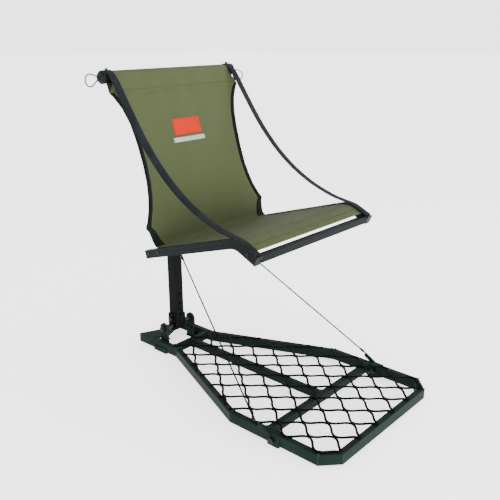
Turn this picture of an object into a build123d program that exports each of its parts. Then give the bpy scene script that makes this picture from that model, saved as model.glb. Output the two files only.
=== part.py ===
"""Hang-on tree stand: steel platform with a mesh deck, hinged mast, sling seat that flips up.

Frame: origin on the ground below the middle of the platform, +Z up, +Y towards the tree,
+X to the right hand of someone who stands in front and faces the tree. Millimetres.
"""
from build123d import *

import math
import os

# ---------------------------------------------------------------- driving dimensions
PLATFORM_LENGTH = 944.0     # front tube to the tips of the tree vee
PLATFORM_WIDTH = 520.0      # over the side tubes
FRONT_WIDTH = 426.0         # front tube, between the two cut corners
REAR_WIDTH = 183.5          # over the two rear rails
REAR_RAIL_LENGTH = 186.0    # from the tips to the flare corners
FLARE_LENGTH = 408.0        # along Y, from the flare corners to the wide corners
CORNER_LENGTH = 45.0        # along Y, cut corner at the front
FRAME_W, FRAME_H, TUBE_WALL = 19.05, 31.75, 1.6     # outer frame tube, on edge
INNER_W, INNER_H = 19.05, 25.4                      # spine and cross tubes
EDGE_R = 2.0                # rolled edges of the frame tube
SHOE_T = 4.0                # hinge shoes and cable clamps: the plates the stand rests on
CROSS_TUBE_BACK = 218.0     # front of the platform to the middle of the cross tube
REAR_CROSS_AHEAD = 170.0    # middle of the rear cross bar to the tips

VEE_DEPTH = 40.0            # tips to the middle of the vee that bites the tree
VEE_T = 8.0
TOOTH_PITCH, TOOTH_DEPTH = 11.5, 4.0
VEE_PLATE_T, VEE_PLATE_AHEAD = 5.0, 72.0      # front edge of the plate to the tips

MESH_X, MESH_Y = 84.0, 102.7        # pitch of the diamonds
MESH_T, MESH_STRAND = 4.0, 5.0
MESH_BOND = 9.0                     # length of a knot where two strands run together
MESH_PHASE = 614.0                  # rear cross bar to a row with a knot at x = 0, further forward

PIVOT_AHEAD, PIVOT_Z = 100.0, 73.0  # mast hinge: its bolt to the tips, and its height
PIVOT_R, RUN_CLEAR = 6.0, 0.05      # hinge bolt radius, running clearance
EAR_X, EAR_T, EAR_W = 58.2, 6.35, 38.0
SHOE_IN_X, SHOE_AHEAD, SHOE_LIP_H = 54.0, 41.0, 12.0    # front edge of the shoe to the hinge bolt

MAST_W, MAST_D, MAST_WALL = 31.75, 40.0, 2.0
MAST_BACK = 3.0                     # hinge bolt to the middle of the mast
MAST_BOTTOM, MAST_TOP = 58.0, 905.0
HOLE_R, HOLE_PITCH, HOLE_COUNT, HOLE_Z = 5.0, 38.0, 3, 112.0
CHEEK_T, CHEEK_TOP = 6.0, 112.0
BUSH_R = 8.0
LOCK_PIN_R, LOCK_PIN_Z = 4.0, 96.0

BAR_AHEAD, BAR_Z, BAR_R, BAR_WALL = 25.0, 925.0, 15.875, 1.8   # top bar, ahead of the mast
BAR_HALF = 259.0
CAP_R, CAP_L, CAP_NOSE_R = 19.0, 13.0, 12.5
SLEEVE_T, SLEEVE_HALF = 1.5, 230.0
SADDLE_HALF = 24.0
LOOP_WIRE_R, LOOP_R = 1.8, 15.0
# middle of each loop's round end from its cap's nose: outward, towards the tree, downward
LOOP_LEFT, LOOP_RIGHT = (29.4, 0.0, 5.9), (20.3, -8.7, 20.3)

HINGE_AHEAD, HINGE_Z = 145.0, 410.0     # seat hinge bar, ahead of the mast
HINGE_R, HINGE_WALL, HINGE_HALF = 11.1, 1.6, 135.0
BRACKET_T, BRACKET_NOSE_R = 5.0, 20.0
BRACKET_BOTTOM, BRACKET_TOP = 386.0, 456.0
BOLT_R = 4.0
CABLE_TOP_X, CABLE_TOP_Z = 110.0, 394.0
CABLE_R, CABLE_STANDOFF = 1.9, 2.5     # the cable runs clear of the tab's face

RAIL_OUT_X, RAIL_W, RAIL_H = 264.0, 22.0, 24.5      # seat side rail
REAR_REACH, REAR_RISE = 26.2, 32.0      # from the hinge bar to the top edge's rear end
PEAK_REACH, PEAK_RISE = 387.0, 139.7    # to where the two straight runs of the top edge meet
FRONT_REACH, FRONT_RISE = 459.0, 104.5  # to the top edge's front end
RAIL_BEND_R = 70.0
GROOVE_D, GROOVE_W = 1.2, 3.0
SLING_T, SLING_GAP = 2.0, 1.5
CREASE_REACH = 56.0         # hinge bar to the fold between the back and the seat
SLING_SETBACK = 23.0        # rails' front ends to the front edge of the seat's fabric
FRONT_BAR_S = 20.0
REAR_BAR_S = 19.0

STRAP_W, STRAP_T, STRAP_X = 25.4, 2.5, 245.5
BAR_GAP, BODY_GAP = 0.2, 0.3         # cloth to bar, and between pieces on different bodies

CLAMP_AHEAD, CLAMP_L, CLAMP_OUT_H = 29.0, 38.0, 36.0    # ahead of the cross tube
CLAMP_BOLT_R, CLAMP_BOLT_Z = 5.0, 20.0
TAB_W, TAB_T, TAB_REACH, TAB_RISE = 13.0, 4.0, 47.0, 27.0   # from the clamp's bolt to the tab's tip

UPPER_VEE_Z, UPPER_VEE_H, UPPER_VEE_HALF = 800.0, 40.0, 62.0
LUG_T, LUG_Z, LUG_BACK, LUG_BORE_R, LUG_R = 5.0, 740.0, 47.0, 6.5, 18.0     # behind the mast

# ---------------------------------------------------------------- worked-out places
FLOOR_GAP = SHOE_T
DECK_Z = FLOOR_GAP + FRAME_H                    # top of the frame tubes
TIP_Y, FRONT_Y = PLATFORM_LENGTH / 2, -PLATFORM_LENGTH / 2
FLARE_Y = TIP_Y - REAR_RAIL_LENGTH
WIDE_Y = FLARE_Y - FLARE_LENGTH
SIDE_END_Y = FRONT_Y + CORNER_LENGTH
REAR_X, WIDE_X, FRONT_X = REAR_WIDTH / 2, PLATFORM_WIDTH / 2, FRONT_WIDTH / 2
RAIL_IN_X = RAIL_OUT_X - RAIL_W
CROSS_TUBE_Y = FRONT_Y + CROSS_TUBE_BACK
REAR_CROSS_Y = TIP_Y - REAR_CROSS_AHEAD
MESH_PHASE_Y = REAR_CROSS_Y - MESH_PHASE
VEE_PLATE_FRONT_Y = TIP_Y - VEE_PLATE_AHEAD
PIVOT_Y = TIP_Y - PIVOT_AHEAD
SHOE_FRONT_Y = PIVOT_Y - SHOE_AHEAD
MAST_Y = PIVOT_Y + MAST_BACK
MAST_FRONT_Y, MAST_BACK_Y = MAST_Y - MAST_D / 2, MAST_Y + MAST_D / 2
BAR_Y, HINGE_Y, LUG_Y = MAST_Y - BAR_AHEAD, MAST_Y - HINGE_AHEAD, MAST_Y + LUG_BACK
RAIL_REAR = (HINGE_Y - REAR_REACH, HINGE_Z + REAR_RISE)         # y, z of the rail's top edge
RAIL_PEAK = (HINGE_Y - PEAK_REACH, HINGE_Z + PEAK_RISE)
RAIL_FRONT = (HINGE_Y - FRONT_REACH, HINGE_Z + FRONT_RISE)
CREASE_Y, SEAT_FABRIC_FRONT_Y = HINGE_Y - CREASE_REACH, RAIL_FRONT[0] + SLING_SETBACK
CLAMP_Y = CROSS_TUBE_Y - CLAMP_AHEAD
TAB_TOP_Y, TAB_TOP_Z = CLAMP_Y + TAB_REACH, CLAMP_BOLT_Z + TAB_RISE
VEE_SLOPE = VEE_DEPTH / REAR_X
VEE_STEP = VEE_T * math.hypot(1, VEE_SLOPE)     # vee bar thickness measured along Y

PARTS = {}


def add(name, shape):
    """Keep a finished sub-part under its node name."""
    PARTS[name] = shape


def add_pair(name, right):
    """A sub-part on the right and its mirror image on the left, each its own node."""
    add(name + "_right", right)
    add(name + "_left", mirror(right, about=Plane.YZ))


def both_sides(right):
    """The same small piece on both sides, as two solids of one node."""
    return Compound(children=[right, mirror(right, about=Plane.YZ)])


def block(x0, x1, y0, y1, z0, z1):
    return Pos((x0 + x1) / 2, (y0 + y1) / 2, (z0 + z1) / 2) * Box(x1 - x0, y1 - y0, z1 - z0)


def plate_xy(points, z0, z1):
    """A plate with an outline in plan."""
    face = make_face(Polyline(*[(x, y, z0) for x, y in points], close=True))
    return extrude(face, amount=z1 - z0, dir=(0, 0, 1))


def plate_yz(points, x0, x1):
    """A plate that stands across X, with an outline of (y, z) points."""
    face = make_face(Polyline(*[(x0, y, z) for y, z in points], close=True))
    return extrude(face, amount=x1 - x0, dir=(1, 0, 0))


def rod_x(radius, x0, x1, y, z):
    """A round bar along X."""
    return Pos((x0 + x1) / 2, y, z) * Rot(0, 90, 0) * Cylinder(radius, x1 - x0)


def tube_x(outer, inner, x0, x1, y, z):
    return rod_x(outer, x0, x1, y, z) - rod_x(inner, x0 - 1, x1 + 1, y, z)


def hex_x(across_flats, x0, x1, y, z):
    """A hexagon head or nut along X."""
    head = extrude(Plane.YZ * RegularPolygon(across_flats / math.sqrt(3), 6), amount=x1 - x0)
    return Pos(x0, y, z) * head


def rod_between(p, q, radius):
    """A straight round rod from p to q."""
    start, end = Vector(p), Vector(q)
    return extrude(Plane(origin=start, z_dir=end - start) * Circle(radius), amount=(end - start).length)


def mitre(p, corner, q, distance):
    """The point that lies `distance` to the right of both runs p-corner and corner-q."""
    def offset(a, b):
        length = math.dist(a, b)
        nx, ny = (b[1] - a[1]) / length, -(b[0] - a[0]) / length
        return (a[0] + nx * distance, a[1] + ny * distance), (b[0] - a[0], b[1] - a[1])
    (ax, ay), (ux, uy) = offset(p, corner)
    (bx, by), (vx, vy) = offset(corner, q)
    t = ((bx - ax) * vy - (by - ay) * vx) / (ux * vy - uy * vx)
    return ax + ux * t, ay + uy * t


# ---------------------------------------------------------------- platform
def outline():
    """Outer corners of the platform's right half, from the front middle to the tree."""
    return [(0, FRONT_Y), (FRONT_X, FRONT_Y), (WIDE_X, SIDE_END_Y), (WIDE_X, WIDE_Y),
            (REAR_X, FLARE_Y), (REAR_X, TIP_Y)]


def inside(points, distance):
    """The outline moved inwards, mitred at its corners, with its ends moved square."""
    moved = [(points[0][0], points[0][1] + distance)]
    for p, corner, q in zip(points, points[1:], points[2:]):
        moved.append(mitre(p, corner, q, -distance))
    moved.append((points[-1][0] - distance, points[-1][1]))
    return moved


def mitred_tube(outer_a, outer_b, inner_a, inner_b, core):
    """A frame tube between two mitres. core holds the hollow's four corners, in the same order."""
    body = plate_xy([outer_a, outer_b, inner_b, inner_a], FLOOR_GAP, DECK_Z)
    run = Vector(outer_b[0] - outer_a[0], outer_b[1] - outer_a[1], 0).normalized()
    long_edges = [e for e in body.edges() if abs((e @ 1 - e @ 0).normalized().dot(run)) > 0.999]
    body = fillet(long_edges, EDGE_R)
    hollow = plate_xy([core[0], core[1], core[3], core[2]], FLOOR_GAP + TUBE_WALL, DECK_Z - TUBE_WALL)
    return body - hollow


def make_frame_tubes():
    outer = outline()
    inner = inside(outer, FRAME_W)
    core_out = inside(outer, TUBE_WALL)
    core_in = inside(outer, FRAME_W - TUBE_WALL)
    names = {1: "corner_tube", 2: "side_tube", 3: "flare_tube"}
    for i, name in names.items():
        corners = (core_out[i], core_out[i + 1], core_in[i], core_in[i + 1])
        add_pair(name, mitred_tube(outer[i], outer[i + 1], inner[i], inner[i + 1], corners))

    def across(points):
        return (-points[1][0], points[1][1]), points[1]
    front_core = across(core_out) + across(core_in)
    add("front_tube", mitred_tube(*across(outer), *across(inner), front_core))

    def vee_front(x):
        return TIP_Y - VEE_STEP - VEE_SLOPE * (REAR_X - x)
    ends = [(p[4], (p[5][0], vee_front(p[5][0]))) for p in (outer, inner, core_out, core_in)]
    (oa, ob), (ia, ib), (ca, cb), (da, db) = ends
    add_pair("rear_rail", mitred_tube(oa, ob, ia, ib, (ca, cb, da, db)))


def inner_tube(x0, x1, y0, y1, along):
    """A cross member whose top is level with the frame; its ends are open."""
    z0 = DECK_Z - INNER_H
    body = block(x0, x1, y0, y1, z0, DECK_Z)
    body = fillet(body.edges().filter_by(along), EDGE_R)
    wall, through = TUBE_WALL, 1.0
    if along == Axis.X:
        return body - block(x0 - through, x1 + through, y0 + wall, y1 - wall, z0 + wall, DECK_Z - wall)
    return body - block(x0 + wall, x1 - wall, y0 - through, y1 + through, z0 + wall, DECK_Z - wall)


def make_inner_tubes():
    half = INNER_W / 2
    rear_in, side_in = REAR_X - FRAME_W, WIDE_X - FRAME_W
    add("rear_cross_bar", inner_tube(-rear_in, rear_in, REAR_CROSS_Y - half, REAR_CROSS_Y + half, Axis.X))
    add("cross_tube", inner_tube(-side_in, side_in, CROSS_TUBE_Y - half, CROSS_TUBE_Y + half, Axis.X))
    add("spine_tube", inner_tube(-half, half, CROSS_TUBE_Y + half, REAR_CROSS_Y - half, Axis.Y))


def toothed_edge(half, middle_y):
    """Points of a saw-toothed line from the middle of a vee out to x = half, tips on the line."""
    count = max(2, round(half / TOOTH_PITCH))
    step = half / count
    points = []
    for i in range(count):
        x = i * step
        points.append((x, middle_y + VEE_SLOPE * x - (TOOTH_DEPTH if i else 0)))
        points.append((x + step, middle_y + VEE_SLOPE * (x + step)))
    return points


def vee_half(half, middle_y, z0, z1):
    """The right half of a vee bar that bites into the bark."""
    back = toothed_edge(half, middle_y)
    front = [(half, middle_y - VEE_STEP + VEE_SLOPE * half), (0, middle_y - VEE_STEP)]
    return plate_xy(back + front, z0, z1)


def make_tree_end():
    middle_y = TIP_Y - VEE_DEPTH
    add_pair("vee_bar", vee_half(REAR_X, middle_y, FLOOR_GAP, DECK_Z))
    x = REAR_X - FRAME_W
    front_y = middle_y - VEE_STEP
    side_y = front_y + VEE_SLOPE * x
    points = [(-x, VEE_PLATE_FRONT_Y), (x, VEE_PLATE_FRONT_Y), (x, side_y), (0, front_y), (-x, side_y)]
    add("vee_plate", plate_xy(points, DECK_Z - VEE_PLATE_T, DECK_Z))


def deck_region():
    """Plan of the deck: the frame's outline moved in to half the tube, closed at the rear bar."""
    half = inside(outline(), FRAME_W / 2)
    rear = (half[4][0], REAR_CROSS_Y)
    right = half[1:4] + [rear]
    xs = [half[4][0], half[3][0]]
    ys = [half[4][1], half[3][1]]
    if rear[1] < ys[0]:
        share = (rear[1] - ys[1]) / (ys[0] - ys[1])
        right[-1] = (xs[1] + (xs[0] - xs[1]) * share, rear[1])
    else:
        right.insert(-1, half[4])
    left = [(-x, y) for x, y in reversed(right)]
    return right + left


def make_deck():
    """Expanded mesh: diamonds cut from one plate, with knots where the strands meet."""
    net = make_face(Polyline(*[(x, y, 0) for x, y in deck_region()], close=True))
    slope = MESH_Y / MESH_X
    pinch = MESH_STRAND / 2 * math.hypot(1, slope)      # strand's half width along Y
    half_y = MESH_Y / 2 - pinch
    half_x = half_y / slope
    flat = MESH_BOND / 2
    hole_y = half_y - flat * slope / 4
    hole = Polyline((-half_x, 0, 0), (-flat / 2, hole_y, 0), (flat / 2, hole_y, 0), (half_x, 0, 0),
                    (flat / 2, -hole_y, 0), (-flat / 2, -hole_y, 0), close=True)
    hole = make_face(hole)
    rows = int(PLATFORM_LENGTH / MESH_Y) + 2
    columns = int(PLATFORM_WIDTH / MESH_X / 2) + 2
    holes = []
    for row in range(-rows, 2 * rows):
        y = MESH_PHASE_Y + row * MESH_Y / 2
        if not FRONT_Y - MESH_Y < y < TIP_Y:
            continue
        shift = MESH_X / 2 if row % 2 == 0 else 0
        for column in range(-columns, columns + 1):
            holes.append(Pos(column * MESH_X + shift, y, 0) * hole)
    net = net - holes
    sheet = extrude(net, amount=MESH_T, dir=(0, 0, 1))
    largest = max(sheet.solids(), key=lambda solid: solid.volume)
    add("deck_mesh", Pos(0, 0, DECK_Z) * largest)


def make_hinge_ears():
    """Shoe under each rear rail, with the upright ear that carries the mast hinge."""
    y0, y1 = PIVOT_Y - EAR_W / 2, PIVOT_Y + EAR_W / 2
    rail_in, rail_out = REAR_X - FRAME_W, REAR_X
    ear = block(EAR_X, EAR_X + EAR_T, y0, y1, SHOE_T, PIVOT_Z)
    ear += rod_x(EAR_W / 2, EAR_X, EAR_X + EAR_T, PIVOT_Y, PIVOT_Z)
    shoe = block(SHOE_IN_X, rail_out + SHOE_T, SHOE_FRONT_Y, y1, 0, SHOE_T)
    lip = block(rail_out, rail_out + SHOE_T, SHOE_FRONT_Y, y1, 0, SHOE_T + SHOE_LIP_H)
    packing = block(EAR_X + EAR_T, rail_in, y0, y1, SHOE_T, DECK_Z - EAR_T)
    body = ear + shoe + lip + packing
    add_pair("hinge_ear", body - rod_x(PIVOT_R + RUN_CLEAR, 0, rail_out, PIVOT_Y, PIVOT_Z))


def make_pivot():
    outside = EAR_X + EAR_T
    head, nut = 7.5, 10.0               # heights of the hexagons
    bolt = rod_x(PIVOT_R, -outside - nut - 3, outside, PIVOT_Y, PIVOT_Z)
    bolt += hex_x(19.0, outside, outside + head, PIVOT_Y, PIVOT_Z)
    add("pivot_bolt", bolt)
    ring = hex_x(19.0, -outside - nut, -outside, PIVOT_Y, PIVOT_Z)
    add("pivot_nut", ring - rod_x(PIVOT_R, -outside - nut - 1, 0, PIVOT_Y, PIVOT_Z))


def make_cable_clamps():
    """U-shaped clamp round each side tube at the cross tube, with the tab that takes the cable."""
    y0, y1 = CLAMP_Y - CLAMP_L / 2, CLAMP_Y + CLAMP_L / 2
    tube_in, tube_out = WIDE_X - FRAME_W, WIDE_X
    out_x = tube_out + SHOE_T
    clamp = block(tube_in - SHOE_T, out_x, y0, y1, 0, SHOE_T)
    clamp += block(tube_out, out_x, y0, y1, 0, CLAMP_OUT_H)
    clamp += block(tube_in - SHOE_T, tube_in, y0, y1, 0, DECK_Z - EDGE_R)
    hole = rod_x(CLAMP_BOLT_R, tube_in - 2 * SHOE_T, out_x + TAB_T + 1, CLAMP_Y, CLAMP_BOLT_Z)
    add_pair("cable_clamp", clamp - hole)

    run = Vector(TAB_TOP_Y - CLAMP_Y, TAB_TOP_Z - CLAMP_BOLT_Z, 0)
    angle = math.degrees(math.atan2(run.Y, run.X))
    bar = SlotCenterToCenter(run.length, TAB_W)
    tab = extrude(Pos(run.length / 2, 0, 0) * bar, amount=TAB_T)
    side_plane = Plane(origin=(out_x, CLAMP_Y, CLAMP_BOLT_Z), x_dir=(0, 1, 0), z_dir=(1, 0, 0))
    tab = side_plane * Rot(0, 0, angle) * tab
    add("cable_tabs", both_sides(tab - hole))

    side = out_x + TAB_T
    nut_in = tube_in - SHOE_T - 8.0
    bolt = rod_x(CLAMP_BOLT_R, nut_in - 3, side, CLAMP_Y, CLAMP_BOLT_Z)
    bolt += hex_x(16.0, side, side + 6.5, CLAMP_Y, CLAMP_BOLT_Z)
    nut = hex_x(16.0, nut_in, tube_in - SHOE_T, CLAMP_Y, CLAMP_BOLT_Z) - bolt
    add("clamp_bolts", both_sides(bolt))
    add("clamp_nuts", both_sides(nut))
    for name in ("side_tube_right", "side_tube_left"):
        drill = hole if name.endswith("right") else mirror(hole, about=Plane.YZ)
        PARTS[name] = PARTS[name] - drill
    return side


# ---------------------------------------------------------------- mast
def make_mast():
    half_w, half_d = MAST_W / 2, MAST_D / 2
    tube = block(-half_w, half_w, MAST_FRONT_Y, MAST_BACK_Y, MAST_BOTTOM, MAST_TOP)
    tube = fillet(tube.edges().filter_by(Axis.Z), EDGE_R)
    inner = MAST_WALL
    tube -= block(-half_w + inner, half_w - inner, MAST_FRONT_Y + inner, MAST_BACK_Y - inner,
                  MAST_BOTTOM - 1, MAST_TOP + 1)
    for i in range(HOLE_COUNT):
        hole = Pos(0, MAST_FRONT_Y, HOLE_Z + i * HOLE_PITCH) * Rot(90, 0, 0) * Cylinder(HOLE_R, 3 * MAST_WALL)
        tube -= hole
    tube -= rod_x(PIVOT_R + RUN_CLEAR, -half_w - 1, half_w + 1, PIVOT_Y, PIVOT_Z)
    tube -= rod_x(LOCK_PIN_R, -half_w - 1, half_w + 1, MAST_Y, LOCK_PIN_Z)
    for z in bracket_bolt_heights() + [LUG_Z]:
        tube -= rod_x(BOLT_R, -half_w - 1, half_w + 1, MAST_Y, z)
    add("mast_tube", tube)

    cheek = block(half_w, half_w + CHEEK_T, MAST_FRONT_Y, MAST_BACK_Y, PIVOT_Z, CHEEK_TOP)
    cheek += rod_x(half_d, half_w, half_w + CHEEK_T, MAST_Y, PIVOT_Z)
    cheek -= rod_x(PIVOT_R + RUN_CLEAR, 0, REAR_X, PIVOT_Y, PIVOT_Z)
    cheek -= rod_x(LOCK_PIN_R, 0, REAR_X, MAST_Y, LOCK_PIN_Z)
    add("mast_cheeks", both_sides(cheek))

    bush = tube_x(BUSH_R, PIVOT_R + RUN_CLEAR, half_w + CHEEK_T, EAR_X - BODY_GAP, PIVOT_Y, PIVOT_Z)
    add("pivot_bushes", both_sides(bush))

    side = half_w + CHEEK_T
    pin = rod_x(LOCK_PIN_R, -side, side + 7, MAST_Y, LOCK_PIN_Z)
    pin += rod_x(LOCK_PIN_R + 3.5, -side - 12, -side, MAST_Y, LOCK_PIN_Z)
    add("lock_pin", pin)


def bracket_bolt_heights():
    return [BRACKET_BOTTOM + 15, BRACKET_TOP - 15]


def make_seat_bracket():
    """Two side plates bolted to the mast that carry the seat's hinge bar."""
    x0, x1 = MAST_W / 2, MAST_W / 2 + BRACKET_T
    nose = BRACKET_NOSE_R
    outline_yz = [(MAST_BACK_Y, BRACKET_BOTTOM), (MAST_BACK_Y, BRACKET_TOP), (MAST_FRONT_Y, BRACKET_TOP),
                  (HINGE_Y, HINGE_Z + nose), (HINGE_Y, HINGE_Z - nose), (MAST_FRONT_Y, BRACKET_BOTTOM)]
    plate = plate_yz(outline_yz, x0, x1) + rod_x(nose, x0, x1, HINGE_Y, HINGE_Z)
    plate -= rod_x(HINGE_R, 0, 2 * x1, HINGE_Y, HINGE_Z)
    for z in bracket_bolt_heights():
        plate -= rod_x(BOLT_R, 0, 2 * x1, MAST_Y, z)
    add_pair("seat_bracket", plate)
    make_mast_bolts(x1)

    bar = tube_x(HINGE_R, HINGE_R - HINGE_WALL, -HINGE_HALF, HINGE_HALF, HINGE_Y, HINGE_Z)
    add("hinge_bar", bar)
    lug_half = 3.0
    tail_r = 7.0
    lug = rod_x(HINGE_R + 4, CABLE_TOP_X - lug_half, CABLE_TOP_X + lug_half, HINGE_Y, HINGE_Z)
    lug += block(CABLE_TOP_X - lug_half, CABLE_TOP_X + lug_half, HINGE_Y - tail_r, HINGE_Y + tail_r,
                 CABLE_TOP_Z - 6, HINGE_Z)
    lug -= rod_x(HINGE_R, 0, HINGE_HALF, HINGE_Y, HINGE_Z)
    add("cable_lugs", both_sides(lug))


def make_mast_bolts(side_x):
    """Bolts across the mast through the seat bracket and the strap lugs, nuts on the left."""
    head, nut, flats = 5.5, 6.5, 13.0
    bolts, nuts = [], []
    for z in bracket_bolt_heights() + [LUG_Z]:
        shank = rod_x(BOLT_R, -side_x - nut - 2, side_x, MAST_Y, z)
        bolts.append(shank + hex_x(flats, side_x, side_x + head, MAST_Y, z))
        ring = hex_x(flats, -side_x - nut, -side_x, MAST_Y, z)
        nuts.append(ring - rod_x(BOLT_R, -side_x - nut - 1, 0, MAST_Y, z))
    add("mast_bolts", Compound(children=bolts))
    add("mast_nuts", Compound(children=nuts))


def make_cables(tab_side_x):
    """Taut wire cable from the hinge bar's lug down to the clamp's tab, with its two ferrules."""
    top = Vector(CABLE_TOP_X, HINGE_Y - 7.0, CABLE_TOP_Z)
    bottom = Vector(tab_side_x + CABLE_R + CABLE_STANDOFF, TAB_TOP_Y, TAB_TOP_Z)
    add_pair("cable", rod_between(top, bottom, CABLE_R))
    run = (bottom - top).normalized()
    ferrule_r, ferrule_l, inset = 3.6, 16.0, 14.0
    near = top + run * inset
    upper = rod_between(near, near + run * ferrule_l, ferrule_r) - rod_between(top, bottom, CABLE_R)
    add("upper_ferrules", both_sides(upper))
    near = bottom - run * (inset + ferrule_l)
    lower = rod_between(near, near + run * ferrule_l, ferrule_r)
    lower -= rod_between(top, bottom, CABLE_R + BODY_GAP)
    add("lower_ferrules", both_sides(lower))


def make_top_bar():
    bar = tube_x(BAR_R, BAR_R - BAR_WALL, -BAR_HALF, BAR_HALF, BAR_Y, BAR_Z)
    saddle = block(-SADDLE_HALF, SADDLE_HALF, BAR_Y, MAST_BACK_Y, MAST_TOP, BAR_Z)
    saddle += block(-SADDLE_HALF, SADDLE_HALF, BAR_Y - BAR_R, BAR_Y, MAST_TOP, BAR_Z - BAR_R / 2)
    saddle -= rod_x(BAR_R, -SADDLE_HALF - 1, SADDLE_HALF + 1, BAR_Y, BAR_Z)
    add("top_bar", bar)
    add("top_saddle", saddle)

    cap = rod_x(CAP_R, BAR_HALF, BAR_HALF + CAP_L, BAR_Y, BAR_Z)
    rim = cap.edges().filter_by(GeomType.CIRCLE).sort_by(Axis.X)[-1]
    cap = chamfer(rim, CAP_R - CAP_NOSE_R)
    plug_l = 9.0
    cap += rod_x(BAR_R - BAR_WALL, BAR_HALF - plug_l, BAR_HALF, BAR_Y, BAR_Z)
    for x in (BAR_HALF + 2.0, BAR_HALF + 5.0):
        cap -= tube_x(CAP_R + 1, CAP_R - 1.2, x, x + 1.3, BAR_Y, BAR_Z)
    add("bar_caps", both_sides(cap))


def wire_loop(side, hang):
    """A teardrop of steel cable that sticks out of a cap: two straight legs and one round end."""
    nose = Vector(side * (BAR_HALF + CAP_L), BAR_Y, BAR_Z)
    centre = nose + Vector(side * hang[0], hang[1], -hang[2])
    along = (centre - nose).normalized()
    reach = (centre - nose).length
    across = Vector(0, 0, 1) - along * along.Z
    across = across.normalized()
    half = 2.2
    legs = []
    for sign in (1, -1):
        foot = nose + across * (sign * half)
        to_centre = centre - foot
        distance = to_centre.length
        turn = math.acos(LOOP_R / distance)
        base = math.atan2(-to_centre.dot(across), -to_centre.dot(along))
        angle = base - sign * turn
        tangent = centre + along * (LOOP_R * math.cos(angle)) + across * (LOOP_R * math.sin(angle))
        legs.append((foot, tangent))
    tip = centre + along * LOOP_R
    path = Wire([Line(legs[0][0], legs[0][1]).edge(),
                 ThreePointArc(legs[0][1], tip, legs[1][1]).edge(),
                 Line(legs[1][1], legs[1][0]).edge()])
    section = Plane(origin=legs[0][0], z_dir=legs[0][1] - legs[0][0]) * Circle(LOOP_WIRE_R)
    loop = sweep(section, path=path)
    length = sum(edge.length for edge in path.edges())
    print(f"wire loop: reach {reach:.1f}, length {length:.1f}, volume ratio "
          f"{loop.volume / (length * math.pi * LOOP_WIRE_R ** 2):.3f}")
    return loop


def make_strap_anchors():
    """A round-headed screw through each strap into the top bar."""
    screw_r, head_r, head_h = 2.5, 4.5, 6.0
    top = BAR_Z + BAR_R + BAR_GAP + STRAP_T + 0.1
    shank = Pos(STRAP_X, BAR_Y, top - 6) * Cylinder(screw_r, 12)
    head = Pos(STRAP_X, BAR_Y, top + head_h / 2) * Cylinder(head_r, head_h)
    screw = shank + head
    add("strap_screws", both_sides(screw))
    hole = Pos(STRAP_X, BAR_Y, top - 6) * Cylinder(screw_r, 14)
    for name in ("strap_right", "strap_left", "top_bar"):
        for drill in (hole, mirror(hole, about=Plane.YZ)):
            PARTS[name] = PARTS[name] - drill


def make_tree_anchors():
    """Upper vee behind the mast and the two lugs that a tree strap's pin goes through."""
    z0, z1 = UPPER_VEE_Z - UPPER_VEE_H / 2, UPPER_VEE_Z + UPPER_VEE_H / 2
    middle_y = TIP_Y - VEE_DEPTH
    right = vee_half(UPPER_VEE_HALF, middle_y, z0, z1)
    vee = right + mirror(right, about=Plane.YZ)
    vee += block(-MAST_W / 2, MAST_W / 2, MAST_BACK_Y, middle_y - VEE_STEP / 2, z0, z1)
    add("upper_vee", vee)

    x0, x1 = MAST_W / 2, MAST_W / 2 + LUG_T
    lug = block(x0, x1, MAST_FRONT_Y + 4, LUG_Y, LUG_Z - LUG_R, LUG_Z + LUG_R)
    lug += rod_x(LUG_R, x0, x1, LUG_Y, LUG_Z)
    lug -= rod_x(LUG_BORE_R, 0, 2 * x1, LUG_Y, LUG_Z)
    lug -= rod_x(BOLT_R, 0, 2 * x1, MAST_Y, LUG_Z)
    add("strap_lugs", both_sides(lug))


# ---------------------------------------------------------------- seat
def rail_path():
    """Corners of the rail's top edge as (y, z), rear to front."""
    return [RAIL_REAR, RAIL_PEAK, RAIL_FRONT]


def rail_band(depth0, depth1, x0, x1, y_rear=None, y_front=None):
    """What lies between depth0 and depth1 under the rail's top edge, from x0 to x1."""
    rear, peak, front = rail_path()
    up_slope = (peak[1] - rear[1]) / (peak[0] - rear[0])
    down_slope = (front[1] - peak[1]) / (front[0] - peak[0])
    if y_rear is not None:
        rear = (y_rear, rear[1] + up_slope * (y_rear - rear[0]))
    if y_front is not None:
        front = (y_front, peak[1] + down_slope * (y_front - peak[0]))

    def edge_at(depth):
        def shift(p, slope):
            size = math.hypot(1, slope)
            return p[0] + slope / size * depth, p[1] - depth / size
        a, b = shift(rear, up_slope), shift(front, down_slope)
        m1, m2 = shift(peak, up_slope), shift(peak, down_slope)
        y = (m2[1] - m1[1] + up_slope * m1[0] - down_slope * m2[0]) / (up_slope - down_slope)
        return a, (y, m1[1] + up_slope * (y - m1[0])), b

    def bent(depth):
        """The edge at this depth: start, bend's first point, its middle, its last point, end."""
        start, corner, end = edge_at(depth)
        turn = math.atan(up_slope) - math.atan(down_slope)
        radius = RAIL_BEND_R - depth
        reach = radius * math.tan(abs(turn) / 2)
        out = Vector(0, *corner)
        to_start = (Vector(0, *start) - out).normalized()
        to_end = (Vector(0, *end) - out).normalized()
        middle = (to_start + to_end).normalized() * (radius / math.cos(turn / 2) - radius)
        bend = [out + to_start * reach, out + middle, out + to_end * reach]
        return [Vector(0, *start), *bend, Vector(0, *end)]

    top, low = bent(depth0), bent(depth1)
    edges = []
    for start, first, middle, last, end in (top, low):
        edges += [Line(start, first), ThreePointArc(first, middle, last), Line(last, end)]
    edges += [Line(top[0], low[0]), Line(top[-1], low[-1])]
    face = Pos(x0, 0, 0) * make_face(edges)
    return extrude(face, amount=x1 - x0, dir=(1, 0, 0))


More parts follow.
